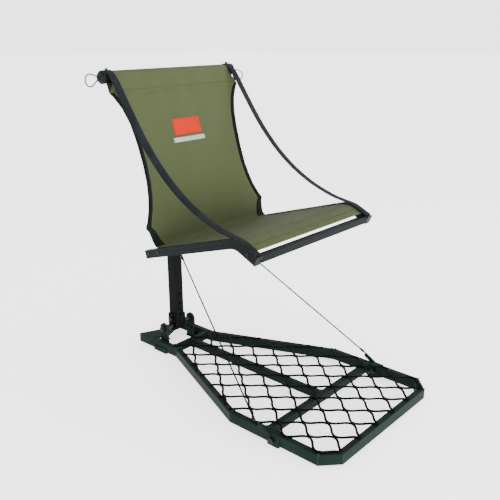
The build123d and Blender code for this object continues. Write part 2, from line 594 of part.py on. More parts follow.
def make_seat_rails():
    rail = rail_band(0, RAIL_H, RAIL_IN_X, RAIL_OUT_X)
    for depth in (6.0, 15.0):
        rail -= rail_band(depth, depth + GROOVE_W, RAIL_OUT_X - GROOVE_D, RAIL_OUT_X + 1,
                          RAIL_REAR[0] + 5, RAIL_FRONT[0] - 5)
    slot_d, slot_w = 8.0, SLING_T + 2.0
    rail -= rail_band(SLING_GAP, SLING_GAP + slot_w, RAIL_IN_X - 1, RAIL_IN_X + slot_d,
                      RAIL_REAR[0] + 5, RAIL_FRONT[0] - 5)
    add_pair("seat_rail", rail)

    cap_t, over = 3.0, 1.5
    forward = Vector(0, RAIL_FRONT[0] - RAIL_PEAK[0], RAIL_FRONT[1] - RAIL_PEAK[1]).normalized()
    down = Vector(0, -forward.Z, forward.Y)
    middle = Vector(RAIL_IN_X + (RAIL_W + over) / 2, *RAIL_FRONT) + down * (RAIL_H / 2)
    end_face = Plane(origin=middle, x_dir=(1, 0, 0), z_dir=forward)
    cap = extrude(end_face * RectangleRounded(RAIL_W + over, RAIL_H + 2 * over, 3), amount=cap_t)
    add("rail_caps", both_sides(cap))


def make_seat_bars():
    rear_y = RAIL_REAR[0] - REAR_BAR_S / 2 - 2
    up_slope = (RAIL_PEAK[1] - RAIL_REAR[1]) / (RAIL_PEAK[0] - RAIL_REAR[0])
    drop = SLING_GAP + SLING_T + 4.0
    rear_z = RAIL_REAR[1] + up_slope * (rear_y - RAIL_REAR[0]) - drop - REAR_BAR_S / 2
    half = REAR_BAR_S / 2
    rear = block(-RAIL_IN_X, RAIL_IN_X, rear_y - half, rear_y + half, rear_z - half, rear_z + half)
    rear = fillet(rear.edges().filter_by(Axis.X), EDGE_R)
    rear -= block(-RAIL_IN_X - 1, RAIL_IN_X + 1, rear_y - half + TUBE_WALL, rear_y + half - TUBE_WALL,
                  rear_z - half + TUBE_WALL, rear_z + half - TUBE_WALL)
    add("rear_bar", rear)

    front_y = RAIL_FRONT[0] + FRONT_BAR_S / 2 + 1
    down_slope = (RAIL_FRONT[1] - RAIL_PEAK[1]) / (RAIL_FRONT[0] - RAIL_PEAK[0])
    front_z = RAIL_FRONT[1] + down_slope * (front_y - RAIL_FRONT[0]) - RAIL_H / 2 - 2
    half = FRONT_BAR_S / 2
    front = block(-RAIL_IN_X, RAIL_IN_X, front_y - half, front_y + half, front_z - half, front_z + half)
    front = fillet(front.edges().filter_by(Axis.X), EDGE_R)
    front -= block(-RAIL_IN_X - 1, RAIL_IN_X + 1, front_y - half + TUBE_WALL, front_y + half - TUBE_WALL,
                   front_z - half + TUBE_WALL, front_z + half - TUBE_WALL)
    add("front_bar", front)

    lug_x, lug_w, ring_r = 48.0, 20.0, HINGE_R + 6.0
    lug = rod_x(ring_r, lug_x, lug_x + lug_w, HINGE_Y, HINGE_Z)
    lug += block(lug_x, lug_x + lug_w, rear_y + REAR_BAR_S / 2, HINGE_Y,
                 rear_z - REAR_BAR_S / 2, HINGE_Z + ring_r - 1)
    lug -= rod_x(HINGE_R + RUN_CLEAR, lug_x - 1, lug_x + lug_w + 1, HINGE_Y, HINGE_Z)
    add("hinge_lugs", both_sides(lug))

    stop_x, stop_w = 76.0, 16.0
    under = rear_z - REAR_BAR_S / 2 - BODY_GAP
    stop = block(stop_x, stop_x + stop_w, rear_y - REAR_BAR_S / 2 + 2, HINGE_Y, under - 8, under)
    stop += rod_x(HINGE_R + 4, stop_x, stop_x + stop_w, HINGE_Y, HINGE_Z)
    above = block(stop_x - 1, stop_x + stop_w + 1, 0, HINGE_Y + 40, under, HINGE_Z + 40)
    stop = stop - above - rod_x(HINGE_R, stop_x - 1, stop_x + stop_w + 1, HINGE_Y, HINGE_Z)
    add("seat_stops", both_sides(stop))


def make_rivets():
    """One dome-headed rivet through each rail, near the front bend and near the rear end."""
    head_r, head_h = 4.0, 2.0
    up_slope = (RAIL_PEAK[1] - RAIL_REAR[1]) / (RAIL_PEAK[0] - RAIL_REAR[0])
    rivets = []
    for y in (RAIL_REAR[0] - 18, RAIL_REAR[0] - 60):
        z = RAIL_REAR[1] + up_slope * (y - RAIL_REAR[0]) - RAIL_H / 2 + 1
        rivets.append(rod_x(head_r, RAIL_OUT_X, RAIL_OUT_X + head_h, y, z))
    front_y = RAIL_FRONT[0] + 30
    down_slope = (RAIL_FRONT[1] - RAIL_PEAK[1]) / (RAIL_FRONT[0] - RAIL_PEAK[0])
    z = RAIL_FRONT[1] + down_slope * (front_y - RAIL_FRONT[0]) - RAIL_H / 2
    rivets.append(rod_x(head_r, RAIL_OUT_X, RAIL_OUT_X + head_h, front_y, z))
    heads = rivets + [mirror(rivet, about=Plane.YZ) for rivet in rivets]
    add("rail_rivets", Compound(children=heads))


# ---------------------------------------------------------------- soft parts
def ribbon(points, thickness, x0, x1):
    """A flat strip that follows (y, z) points through the middle of its thickness."""
    upper, lower = [], []
    for i, p in enumerate(points):
        before, after = points[max(i - 1, 0)], points[min(i + 1, len(points) - 1)]
        dy, dz = after[0] - before[0], after[1] - before[1]
        size = math.hypot(dy, dz)
        ny, nz = -dz / size * thickness / 2, dy / size * thickness / 2
        upper.append((p[0] + ny, p[1] + nz))
        lower.append((p[0] - ny, p[1] - nz))
    return plate_yz(upper + lower[::-1], x0, x1)


# middle of the strap as (y, z) from the seat hinge bar, laid by hand from the top bar to the front
STRAP_ROUTE = [(92, 522), (76, 498), (53, 464), (29, 429), (5, 396), (-19, 364), (-44, 333), (-71, 303),
               (-100, 275), (-130, 249), (-162, 226), (-194, 205), (-226, 187), (-258, 172), (-290, 160),
               (-322, 150), (-350, 143), (-370, 139.5), (-388, 136.5), (-406, 131.5), (-430, 120.5),
               (-454, 108.8)]


def strap_points():
    """Round the top of the bar from its tail at the rear, then the hand-laid route to the front."""
    radius = BAR_R + BAR_GAP + STRAP_T / 2
    angles = (30, 50, 70, 90, 110, 130)
    over_bar = [(BAR_Y + radius * math.cos(math.radians(a)), BAR_Z + radius * math.sin(math.radians(a)))
                for a in angles]
    return over_bar + [(HINGE_Y + y, HINGE_Z + z) for y, z in STRAP_ROUTE]


def make_straps():
    """Arm straps of flat webbing, from over the top bar down to the front ends of the seat rails."""
    strap = ribbon(strap_points(), STRAP_T, STRAP_X - STRAP_W / 2, STRAP_X + STRAP_W / 2)
    strap -= rod_x(BAR_R + BAR_GAP / 2, 0, 2 * STRAP_X, BAR_Y, BAR_Z)
    strap -= rail_band(-BODY_GAP, RAIL_H, RAIL_IN_X - 5, RAIL_OUT_X + 5)
    add_pair("strap", strap)


def make_sling():
    """One long piece of fabric: a sleeve on the top bar, the back, and the seat between the rails."""
    sleeve = tube_x(BAR_R + BAR_GAP + SLEEVE_T, BAR_R + BAR_GAP, -SLEEVE_HALF, SLEEVE_HALF, BAR_Y, BAR_Z)
    cut_half = SADDLE_HALF + 2
    sleeve -= block(-cut_half, cut_half, BAR_Y - 2 * BAR_R, MAST_BACK_Y, MAST_TOP - 5, BAR_Z + 2)
    add("sling_sleeve", sleeve)

    seat_gap = 2.5
    seat = rail_band(SLING_GAP, SLING_GAP + SLING_T, -RAIL_IN_X + seat_gap, RAIL_IN_X - seat_gap,
                     CREASE_Y - 4, SEAT_FABRIC_FRONT_Y)
    add("sling_seat", seat)

    up_slope = (RAIL_PEAK[1] - RAIL_REAR[1]) / (RAIL_PEAK[0] - RAIL_REAR[0])
    crease_z = RAIL_REAR[1] + up_slope * (CREASE_Y - RAIL_REAR[0]) + 4
    top_y, top_z = BAR_Y - BAR_R - 4, BAR_Z - 8
    length = math.hypot(top_y - CREASE_Y, top_z - crease_z)
    half_widths = [(0.0, 236), (0.1, 232), (0.22, 214), (0.4, 205), (0.62, 205), (0.82, 222),
                   (0.9, 247), (0.985, 222)]
    right = [(half, share * length) for share, half in half_widths]
    left = [(-half, along) for half, along in reversed(right)]
    plane = Plane(origin=(0, CREASE_Y, crease_z), x_dir=(1, 0, 0),
                  z_dir=Vector(0, -(top_z - crease_z), top_y - CREASE_Y))
    face = make_face(Polyline(*right, *left, close=True))
    back = extrude(face, amount=SLING_T / 2, both=True)
    add("sling_back", plane * back)


def main():
    os.makedirs("parts", exist_ok=True)
    make_frame_tubes()
    make_inner_tubes()
    make_tree_end()
    make_deck()
    make_hinge_ears()
    make_pivot()
    tab_side_x = make_cable_clamps()
    make_mast()
    make_seat_bracket()
    make_cables(tab_side_x)
    make_top_bar()
    add("wire_loop_right", wire_loop(1, LOOP_RIGHT))
    add("wire_loop_left", wire_loop(-1, LOOP_LEFT))
    make_tree_anchors()
    make_seat_rails()
    make_seat_bars()
    make_rivets()
    make_straps()
    make_strap_anchors()
    make_sling()
    for name, shape in PARTS.items():
        export_step(shape, f"parts/{name}.step")
    print(len(PARTS), "nodes")


main()
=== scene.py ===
"""Looks of a hang-on tree stand: steel platform with an expanded-metal deck, mast, and a sling seat.

Metres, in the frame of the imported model: +Z up, +Y towards the tree, +X to the right of
someone who stands in front and faces the tree.
"""

import math

import bmesh
import bpy
import numpy as np
from mathutils import Matrix, Vector


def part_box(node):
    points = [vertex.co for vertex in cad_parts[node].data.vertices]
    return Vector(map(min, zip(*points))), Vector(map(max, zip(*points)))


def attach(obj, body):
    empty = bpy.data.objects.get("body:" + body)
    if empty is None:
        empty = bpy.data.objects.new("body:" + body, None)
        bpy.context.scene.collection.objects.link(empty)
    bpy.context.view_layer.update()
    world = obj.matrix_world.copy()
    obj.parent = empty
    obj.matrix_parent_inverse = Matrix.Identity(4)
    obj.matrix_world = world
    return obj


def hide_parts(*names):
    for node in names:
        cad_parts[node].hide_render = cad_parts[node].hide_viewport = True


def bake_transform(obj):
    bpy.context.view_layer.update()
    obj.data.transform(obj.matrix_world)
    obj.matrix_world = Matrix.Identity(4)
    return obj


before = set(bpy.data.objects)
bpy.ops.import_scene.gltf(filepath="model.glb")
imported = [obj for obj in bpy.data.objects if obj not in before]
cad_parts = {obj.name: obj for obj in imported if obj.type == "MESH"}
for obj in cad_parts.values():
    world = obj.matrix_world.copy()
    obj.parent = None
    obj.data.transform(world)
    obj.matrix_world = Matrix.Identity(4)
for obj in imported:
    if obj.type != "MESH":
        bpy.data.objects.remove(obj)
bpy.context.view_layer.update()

MAST, SEAT, PLATFORM = "mast", "seat", "platform"
SIDES = {"left": -1, "right": 1}


# ---------------------------------------------------------------- places worked out from the frame
def middle(node):
    low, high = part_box(node)
    return (low + high) / 2


def size(node):
    low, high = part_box(node)
    return high - low


BAR, HINGE = middle("top_bar"), middle("hinge_bar")
BAR_R = size("top_bar").z / 2
RAIL_IN, RAIL_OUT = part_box("seat_rail_right")[0].x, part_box("seat_rail_right")[1].x
RAIL_MID = (RAIL_IN + RAIL_OUT) / 2
DECK_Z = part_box("front_tube")[1].z
TUBE_W = size("side_tube_right").x

# the seat rail's top edge as (y, z) from the hinge bar: rear end, the corner that its bend rounds, front end
RAIL_REAR = (HINGE.y - 0.0262, HINGE.z + 0.0320)
RAIL_PEAK = (HINGE.y - 0.3870, HINGE.z + 0.1397)
RAIL_FRONT = (HINGE.y - 0.4590, HINGE.z + 0.1045)
RAIL_BEND_R = 0.070
CREASE_Y = HINGE.y - 0.047
SLING_FRONT_Y = RAIL_FRONT[0] + 0.023


def rail_top(y):
    """Height of the rail's top edge at y, with its bend as an arc."""
    up = (RAIL_PEAK[1] - RAIL_REAR[1]) / (RAIL_PEAK[0] - RAIL_REAR[0])
    down = (RAIL_FRONT[1] - RAIL_PEAK[1]) / (RAIL_FRONT[0] - RAIL_PEAK[0])
    half_turn = (math.atan(down) - math.atan(up)) / 2
    reach = RAIL_BEND_R * math.tan(half_turn)
    start_y = RAIL_PEAK[0] + reach * math.cos(math.atan(up))
    start_z = RAIL_PEAK[1] + up * (start_y - RAIL_PEAK[0])
    end_y = RAIL_PEAK[0] - reach * math.cos(math.atan(down))
    centre_y = start_y + RAIL_BEND_R * math.sin(math.atan(up))
    centre_z = start_z - RAIL_BEND_R * math.cos(math.atan(up))
    if y > start_y:
        return RAIL_PEAK[1] + up * (y - RAIL_PEAK[0])
    if y < end_y:
        return RAIL_PEAK[1] + down * (y - RAIL_PEAK[0])
    return centre_z + math.sqrt(RAIL_BEND_R ** 2 - (y - centre_y) ** 2)


# ---------------------------------------------------------------- node trees written as sums
class Field:
    """A socket that takes part in Python sums; each sum adds its Math node."""

    def __init__(self, graph, socket):
        self.graph, self.socket = graph, socket

    def out(self, name):
        """Another output of the same node."""
        return Field(self.graph, self.socket.node.outputs[name])

    def maths(self, operation, other=None, swap=False):
        a, b = (other, self) if swap else (self, other)
        sockets = {0: a} if b is None else {0: a, 1: b}
        return self.graph.node("ShaderNodeMath", {"operation": operation}, sockets)

    def __add__(self, other):
        return self.maths("ADD", other)

    def __sub__(self, other):
        return self.maths("SUBTRACT", other)

    def __rsub__(self, other):
        return self.maths("SUBTRACT", other, swap=True)

    def __mul__(self, other):
        return self.maths("MULTIPLY", other)

    def __truediv__(self, other):
        return self.maths("DIVIDE", other)

    def __gt__(self, other):
        return self.maths("GREATER_THAN", other)

    __radd__, __rmul__ = __add__, __mul__


class Graph:
    """A node tree. Every node but a sum comes from node()."""

    def __init__(self, tree):
        self.tree = tree

    def node(self, kind, settings=None, sockets=None, out=0):
        made = self.tree.nodes.new(kind)
        for key, value in (settings or {}).items():
            if key == "stops":
                ramp = made.color_ramp
                for place, colour in value[1:-1]:
                    ramp.elements.new(place)
                for element, (place, colour) in zip(ramp.elements, value):
                    element.position, element.color = place, colour
            else:
                setattr(made, key, value)
        for key, value in (sockets or {}).items():
            if isinstance(value, Field):
                self.tree.links.new(value.socket, made.inputs[key])
            else:
                made.inputs[key].default_value = value
        return Field(self, made.outputs[out]) if made.outputs else None


class Finish(Graph):
    """One material."""

    def __init__(self, name):
        self.material = bpy.data.materials.new(name)
        self.material.use_nodes = True
        super().__init__(self.material.node_tree)
        self.tree.nodes.clear()

    def place(self):
        return self.node("ShaderNodeTexCoord", out="Object")

    def cloth_place(self):
        """Metres across and along the cloth."""
        return self.node("ShaderNodeUVMap", {"uv_map": "cloth"})

    def stretch(self, vector, scale):
        return self.node("ShaderNodeMapping", {}, {"Vector": vector, "Scale": scale})

    def noise(self, vector, scale, detail=2.0, rough=0.5):
        return self.node("ShaderNodeTexNoise", {},
                         {"Vector": vector, "Scale": scale, "Detail": detail, "Roughness": rough})

    def mix(self, share, a, b):
        sockets = {"Factor": share, 6: a, 7: b}
        return self.node("ShaderNodeMix", {"data_type": "RGBA"}, sockets, out=2)

    def ramp(self, value, low, high):
        """0 below low, 1 above high."""
        return self.node("ShaderNodeMapRange", {"clamp": True},
                         {"Value": value, "From Min": low, "From Max": high})

    def edges(self, radius, gain):
        """1 along the convex and concave edges of hard parts, 0 on flats."""
        soft = self.node("ShaderNodeBevel", {"samples": 4}, {"Radius": radius})
        true = self.node("ShaderNodeNewGeometry", out="Normal")
        level = self.node("ShaderNodeVectorMath", {"operation": "DOT_PRODUCT"}, {0: soft, 1: true},
                          out="Value")
        return self.ramp((1 - level) * gain, 0.0, 1.0)

    def surface(self, colour, roughness, height=None, depth=0.0002, metallic=0.0, **fixed):
        sockets = {"Base Color": colour, "Roughness": roughness, "Metallic": metallic}
        if height is not None:
            sockets["Normal"] = self.node("ShaderNodeBump", {}, {"Height": height, "Distance": depth})
        for key, value in fixed.items():
            sockets[key.replace("_", " ").title().replace("Ior", "IOR")] = value
        shader = self.node("ShaderNodeBsdfPrincipled", {}, sockets)
        self.node("ShaderNodeOutputMaterial", {}, {"Surface": shader})
        return self.material


class Steps(Graph):
    """One geometry node tree with named sizes, which make() runs into a plain mesh."""

    def __init__(self, name, **sizes):
        super().__init__(bpy.data.node_groups.new(name, "GeometryNodeTree"))
        face = self.tree.interface
        face.new_socket("Geometry", in_out="INPUT", socket_type="NodeSocketGeometry")
        face.new_socket("Geometry", in_out="OUTPUT", socket_type="NodeSocketGeometry")
        kinds = {int: "NodeSocketInt", float: "NodeSocketFloat", tuple: "NodeSocketVector"}
        self.sizes, self.keys = sizes, {}
        for key, value in sizes.items():
            kind = kinds.get(type(value), "NodeSocketMaterial")
            self.keys[key] = face.new_socket(key, in_out="INPUT", socket_type=kind).identifier
        self.given = self.node("NodeGroupInput")

    def __getitem__(self, key):
        return self.given.out(key)

    def end(self, geometry):
        real = self.node("GeometryNodeRealizeInstances", {}, {"Geometry": geometry})
        painted = self.node("GeometryNodeSetMaterial", {}, {"Geometry": real, "Material": self["finish"]})
        self.node("NodeGroupOutput", {}, {0: painted})

    def make(self, name, base=None):
        """Runs the tree on a base mesh, and keeps the result as a piece's plain mesh."""
        carrier = bpy.data.objects.new(name + "_carrier", base or bpy.data.meshes.new(name + "_base"))
        bpy.context.scene.collection.objects.link(carrier)
        modifier = carrier.modifiers.new("steps", "NODES")
        modifier.node_group = self.tree
        for key, value in self.sizes.items():
            modifier[self.keys[key]] = value
        mesh = bpy.data.meshes.new_from_object(carrier.evaluated_get(bpy.context.evaluated_depsgraph_get()))
        bpy.data.objects.remove(carrier)
        mesh.name = name
        return new_piece(name, mesh)


def paint(red, green, blue):
    """A colour from its 0 to 255 screen values, as the linear values that a socket takes."""
    def linear(value):
        value = value / 255
        return value / 12.92 if value <= 0.04045 else ((value + 0.055) / 1.055) ** 2.4
    return linear(red), linear(green), linear(blue), 1.0


# ---------------------------------------------------------------- finishes
def powder_coat(name, deep, lit, worn, gloss):
    """Baked powder paint: orange peel, slow drift in tone, paler where edges have rubbed."""
    f = Finish(name)
    at = f.place()
    drift = f.noise(at, 11.0, 4.0)
    peel = f.noise(at, 520.0, 2.0)
    speck = f.noise(at, 1500.0, 1.0)
    edge = f.edges(0.0013, 5.0) * f.ramp(f.noise(at, 60.0, 3.0), 0.38, 0.62)
    scuff = f.ramp(f.noise(f.stretch(at, (30, 30, 4)), 9.0, 5.0, 0.7), 0.66, 0.8)
    colour = f.mix(drift, deep, lit)
    colour = f.mix(f.ramp(speck, 0.45, 0.75) * 0.25, colour, lit)
    colour = f.mix(edge * 0.75, colour, worn)
    colour = f.mix(scuff * 0.35, colour, worn)
    rough = gloss + drift * 0.10 + scuff * 0.18 + peel * 0.05
    return f.surface(colour, rough, peel * 0.8 + speck * 0.2, 0.00012, coat_weight=0.01, coat_roughness=0.3,
                     specular_ior_level=0.02)


def satin_rail(name, deep, lit, worn):
    """Extruded tube under satin paint: fine draw lines along its length."""
    f = Finish(name)
    at = f.place()
    lines = f.noise(f.stretch(at, (900, 6, 900)), 1.0, 3.0)
    drift = f.noise(at, 9.0, 3.0)
    edge = f.edges(0.0011, 5.0)
    colour = f.mix(drift, deep, lit)
    colour = f.mix(f.ramp(lines, 0.5, 0.8) * 0.3, colour, lit)
    colour = f.mix(edge * 0.7, colour, worn)
    return f.surface(colour, 0.30 + lines * 0.18, lines, 0.00006, coat_weight=0.01, coat_roughness=0.3,
                     specular_ior_level=0.03)


def bolt_finish(name, deep, lit):
    """Black zinc: turned lines round the head, bright where a wrench has touched its corners."""
    f = Finish(name)
    at = f.place()
    grain = f.noise(at, 800.0, 3.0)
    cloud = f.noise(at, 90.0, 4.0)
    edge = f.edges(0.0008, 6.0)
    colour = f.mix(cloud, deep, lit)
    colour = f.mix(edge * 0.8, colour, paint(88, 92, 93))
    return f.surface(colour, 0.28 + cloud * 0.2, grain, 0.00005, metallic=0.75 + edge * 0.2)


def moulded(name, deep, lit, rough, grain_scale=700.0):
    """Moulded plastic or rubber with a fine spark-eroded grain."""
    f = Finish(name)
    at = f.place()
    grain = f.node("ShaderNodeTexVoronoi", {}, {"Vector": at, "Scale": grain_scale})
    cloud = f.noise(at, 40.0, 4.0)
    edge = f.edges(0.001, 5.0)
    colour = f.mix(cloud, deep, lit)
    colour = f.mix(edge * 0.5, colour, paint(44, 54, 51))
    return f.surface(colour, rough + cloud * 0.12, grain, 0.00008, specular_ior_level=0.10)


def thread_cells(f, across, along):
    """Where the warp lies over, and the height, of a plain weave with that many metres for each thread."""
    parts = f.node("ShaderNodeSeparateXYZ", {}, {0: f.cloth_place()})
    u = parts * (math.pi / across)
    v = parts.out("Y") * (math.pi / along)
    warp, weft = u.maths("SINE"), v.maths("SINE")
    over = (warp * weft) > 0.0
    height = over * warp.maths("ABSOLUTE") + (1 - over) * weft.maths("ABSOLUTE")
    return over, height.maths("POWER", 0.6)


def sling_cloth(name):
    """Coated mesh cloth: round olive yarns, darker bands along the warp as painted shade, painted shade in
    the low places between yarns.
    """
    f = Finish(name)
    over, height = thread_cells(f, 0.0011, 0.0011)
    at = f.cloth_place()
    painted_shade_band = f.noise(f.stretch(at, (22, 1.2, 1)), 1.0, 3.0)
    slub = f.noise(f.stretch(at, (900, 40, 1)), 1.0, 2.0)
    cloud = f.noise(f.place(), 7.0, 4.0)
    weft, warp = paint(60, 66, 43), paint(70, 76, 51)
    colour = f.mix(over, weft, warp)
    # painted shade: darker green bands along the warp, standing in for shading down the cloth
    colour = f.mix(f.ramp(painted_shade_band, 0.35, 0.65) * 0.45, colour, paint(56, 67, 39))
    colour = f.mix(f.ramp(cloud, 0.4, 0.7) * 0.35, colour, paint(64, 69, 36))
    # painted shade: the low places between the yarns darkened towards deep olive
    colour = f.mix(f.ramp(height, 0.55, 0.05) * 0.55, colour, paint(29, 33, 15))
    colour = f.mix(f.ramp(slub, 0.62, 0.8) * 0.3, colour, paint(78, 84, 50))
    return f.surface(colour, 0.75 + slub * 0.12, height + slub * 0.2, 0.00028, specular_ior_level=0.06,
                     sheen_weight=0.04, sheen_roughness=0.5)


def webbing(name, deep, lit, fleck, across=0.0016, along=0.0024):
    """Woven tape: ribs along its length, a tight selvedge, a little fray, painted shade between the threads.
    """
    f = Finish(name)
    over, height = thread_cells(f, across, along)
    fuzz = f.noise(f.stretch(f.cloth_place(), (1800, 500, 1)), 1.0, 2.0)
    cloud = f.noise(f.place(), 16.0, 3.0)
    colour = f.mix(over, deep, lit)
    # painted shade: the low places between the threads darkened almost to black
    colour = f.mix(f.ramp(height, 0.6, 0.1) * 0.7, colour, paint(2, 2, 4))
    colour = f.mix(f.ramp(fuzz, 0.6, 0.85) * 0.5, colour, fleck)
    colour = f.mix(f.ramp(cloud, 0.45, 0.75) * 0.25, colour, fleck)
    return f.surface(colour, 0.62 + fuzz * 0.2, height + fuzz * 0.25, 0.0004, specular_ior_level=0.06,
                     sheen_weight=0.03, sheen_roughness=0.4)


def sewing_thread(name, deep, lit):
    """Twisted polyester thread."""
    f = Finish(name)
    at = f.place()
    twist = f.noise(at, 2600.0, 2.0)
    tone = f.noise(at, 300.0, 1.0)
    return f.surface(f.mix(tone, deep, lit), 0.5 + twist * 0.2, twist, 0.0001,
                     specular_ior_level=0.1)


def wire(name, deep, lit, groove_shade, metallic, rough):
    """Stranded cable: strand lines from the piece's own groove attribute, painted shade in the grooves
    between strands.
    """
    f = Finish(name)
    at = f.place()
    groove = f.node("ShaderNodeAttribute", {"attribute_name": "groove"}, out="Fac")
    wear = f.noise(at, 500.0, 3.0)
    colour = f.mix(wear, deep, lit)
    # painted shade: the grooves between strands darkened
    colour = f.mix(f.ramp(groove, 0.35, 0.9), colour, groove_shade)
    return f.surface(colour, rough + wear * 0.15, wear, 0.00006, metallic=metallic,
                     specular_ior_level=0.04)


FLOOR_GLOW = 1.7


def floor_finish():
    f = Finish("studio_floor")
    at = f.place()
    tone = f.noise(at, 3.0, 4.0)
    return f.surface(f.mix(tone, paint(250, 250, 250), paint(246, 247, 247)), 0.55 + tone * 0.1,
                     emission_color=(1, 1, 1, 1), emission_strength=FLOOR_GLOW)


FRAME_COAT = powder_coat("frame_powder_coat", paint(10, 18, 17), paint(24, 37, 34), paint(74, 94, 88), 0.38)
MAST_COAT = powder_coat("mast_powder_coat", paint(4, 6, 7), paint(11, 15, 17), paint(44, 53, 57), 0.42)
DECK_COAT = powder_coat("deck_powder_coat", paint(2, 3, 3), paint(6, 9, 8), paint(24, 30, 28), 0.45)
RAIL_COAT = satin_rail("rail_satin_coat", paint(8, 12, 12), paint(19, 25, 26), paint(56, 66, 64))
BOLT_BLACK = bolt_finish("bolt_black_zinc", paint(8, 10, 10), paint(21, 24, 25))
CAP_PLASTIC = moulded("cap_plastic", paint(5, 8, 8), paint(13, 18, 17), 0.40)
SLING_CLOTH = sling_cloth("sling_mesh_cloth")
STRAP_WEB = webbing("strap_webbing", paint(10, 13, 16), paint(21, 26, 30), paint(44, 50, 56))
TAPE_WEB = webbing("binding_tape", paint(5, 7, 7), paint(13, 17, 16), paint(30, 36, 34), 0.0010, 0.0014)
GUSSET_WEB = webbing("gusset_cloth", paint(7, 12, 11), paint(17, 26, 24), paint(36, 46, 42), 0.0018, 0.0018)
THREAD_BLACK = sewing_thread("thread_black", paint(9, 11, 12), paint(24, 27, 29))
THREAD_OLIVE = sewing_thread("thread_olive", paint(58, 64, 34), paint(92, 98, 60))
PATCH_CLOTH = webbing("marker_cloth", paint(172, 24, 3), paint(198, 36, 7), paint(210, 80, 40),
                      0.0009, 0.0009)
TAG_CLOTH = webbing("tag_tape", paint(150, 150, 146), paint(176, 176, 170), paint(196, 196, 190),
                    0.0009, 0.0009)
# the third colour of each cable is the painted shade in the grooves between its strands
CABLE_STEEL = wire("loop_steel", paint(22, 22, 23), paint(48, 49, 50), paint(6, 6, 6), 0.2, 0.45)
CABLE_BLACK = wire("cable_black", paint(2, 2, 2), paint(5, 5, 5), paint(1, 1, 1), 0.0, 0.6)


# ---------------------------------------------------------------- pieces
def new_piece(name, mesh):
    piece = bpy.data.objects.new(name, mesh)
    bpy.context.scene.collection.objects.link(piece)
    return piece


def mesh_from(name, points, faces, finish, uv=None):
    """A mesh piece from points and faces; uv gives each point's metres across and along."""
    mesh = bpy.data.meshes.new(name)
    mesh.from_pydata([tuple(p) for p in points], [], faces)
    if uv is not None:
        layer = mesh.uv_layers.new(name="cloth")
        corners = np.array([loop.vertex_index for loop in mesh.loops])
        layer.data.foreach_set("uv", np.array(uv, np.float32)[corners].ravel())
    mesh.materials.append(finish)
    mesh.shade_smooth()
    mesh.update()
    return new_piece(name, mesh)


def grid_faces(rows, columns, wrap=False, skip=None):
    """Quads over a grid of rows by columns of points; wrap closes the columns into a ring."""
    faces = []
    for i in range(rows - 1):
        for j in range(columns if wrap else columns - 1):
            if skip is None or not skip(i, j):
                k = (j + 1) % columns
                faces.append((i * columns + j, i * columns + k, (i + 1) * columns + k, (i + 1) * columns + j))
    return faces


def shell_faces(rows, columns):
    """Faces of a closed shell: a grid of points, then the same grid of points again for its other side."""
    offset = rows * columns
    faces = grid_faces(rows, columns)
    faces += [tuple(offset + v for v in f[::-1]) for f in grid_faces(rows, columns)]
    for i in range(rows - 1):
        a, b = i * columns, (i + 1) * columns
        faces.append((a, b, offset + b, offset + a))
        a, b = a + columns - 1, b + columns - 1
        faces.append((b, a, offset + a, offset + b))
    for j in range(columns - 1):
        faces.append((j + 1, j, offset + j, offset + j + 1))
        a = (rows - 1) * columns + j
        faces.append((a, a + 1, offset + a + 1, offset + a))
    return faces


def polyline_mesh(name, lines):
    """A mesh of edges only, from lists of points."""
    points, edges = [], []
    for line in lines:
        start = len(points)
        points += [tuple(p) for p in line]
        edges += [(start + i, start + i + 1) for i in range(len(line) - 1)]
    mesh = bpy.data.meshes.new(name)
    mesh.from_pydata(points, edges, [])
    return mesh


def smooth_route(points):
    """Points along the smooth NURBS line that has these as its control points."""
    curve = bpy.data.curves.new("route", "CURVE")
    curve.dimensions = "3D"
    spline = curve.splines.new("NURBS")
    spline.points.add(len(points) - 1)
    for target, p in zip(spline.points, points):
        target.co = (*p, 1.0)
    spline.order_u = 3
    spline.use_endpoint_u = True
    spline.resolution_u = 16
    carrier = bpy.data.objects.new("route", curve)
    bpy.context.scene.collection.objects.link(carrier)
    mesh = bpy.data.meshes.new_from_object(carrier.evaluated_get(bpy.context.evaluated_depsgraph_get()))
    made = np.array([v.co for v in mesh.vertices], float)
    bpy.data.objects.remove(carrier)
    bpy.data.meshes.remove(mesh)
    keep = np.ones(len(made), bool)
    keep[1:] = np.linalg.norm(np.diff(made, axis=0), axis=1) > 1e-6
    return made[keep]


def even_steps(points, step):
    """The same line with points at even steps, and the length up to each."""
    points = np.array(points, float)
    along = np.concatenate([[0], np.cumsum(np.linalg.norm(np.diff(points, axis=0), axis=1))])
    count = max(2, int(round(along[-1] / step)) + 1)
    at = np.linspace(0, along[-1], count)
    return np.stack([np.interp(at, along, points[:, k]) for k in range(points.shape[1])], 1), at


# ---------------------------------------------------------------- camera, lights, floor
HORIZON_GLOW, ZENITH_GLOW = 3.0, 1.45
# name, place, what it points at, width, height, watts
SOFT_LIGHTS = [("key_softbox", (-1.6, -3.0, 0.5), (0, 0, 0.40), 2.2, 1.2, 125),
               ("fill_softbox", (2.0, -2.8, 0.7), (0, 0, 0.40), 2.0, 1.6, 90),
               ("top_softbox", (0.2, 0.3, 3.2), (0, 0, 0), 2.6, 2.6, 25)]
FLOOR_REACH = 30.0
CAMERA_AT = Vector((-1.4304, -1.2506, 1.04405))
CAMERA_AZIMUTH, CAMERA_ELEVATION, CAMERA_ROLL = (math.radians(a) for a in (-48.2, 18.14, -0.38))
CAMERA_LENS = 47.91


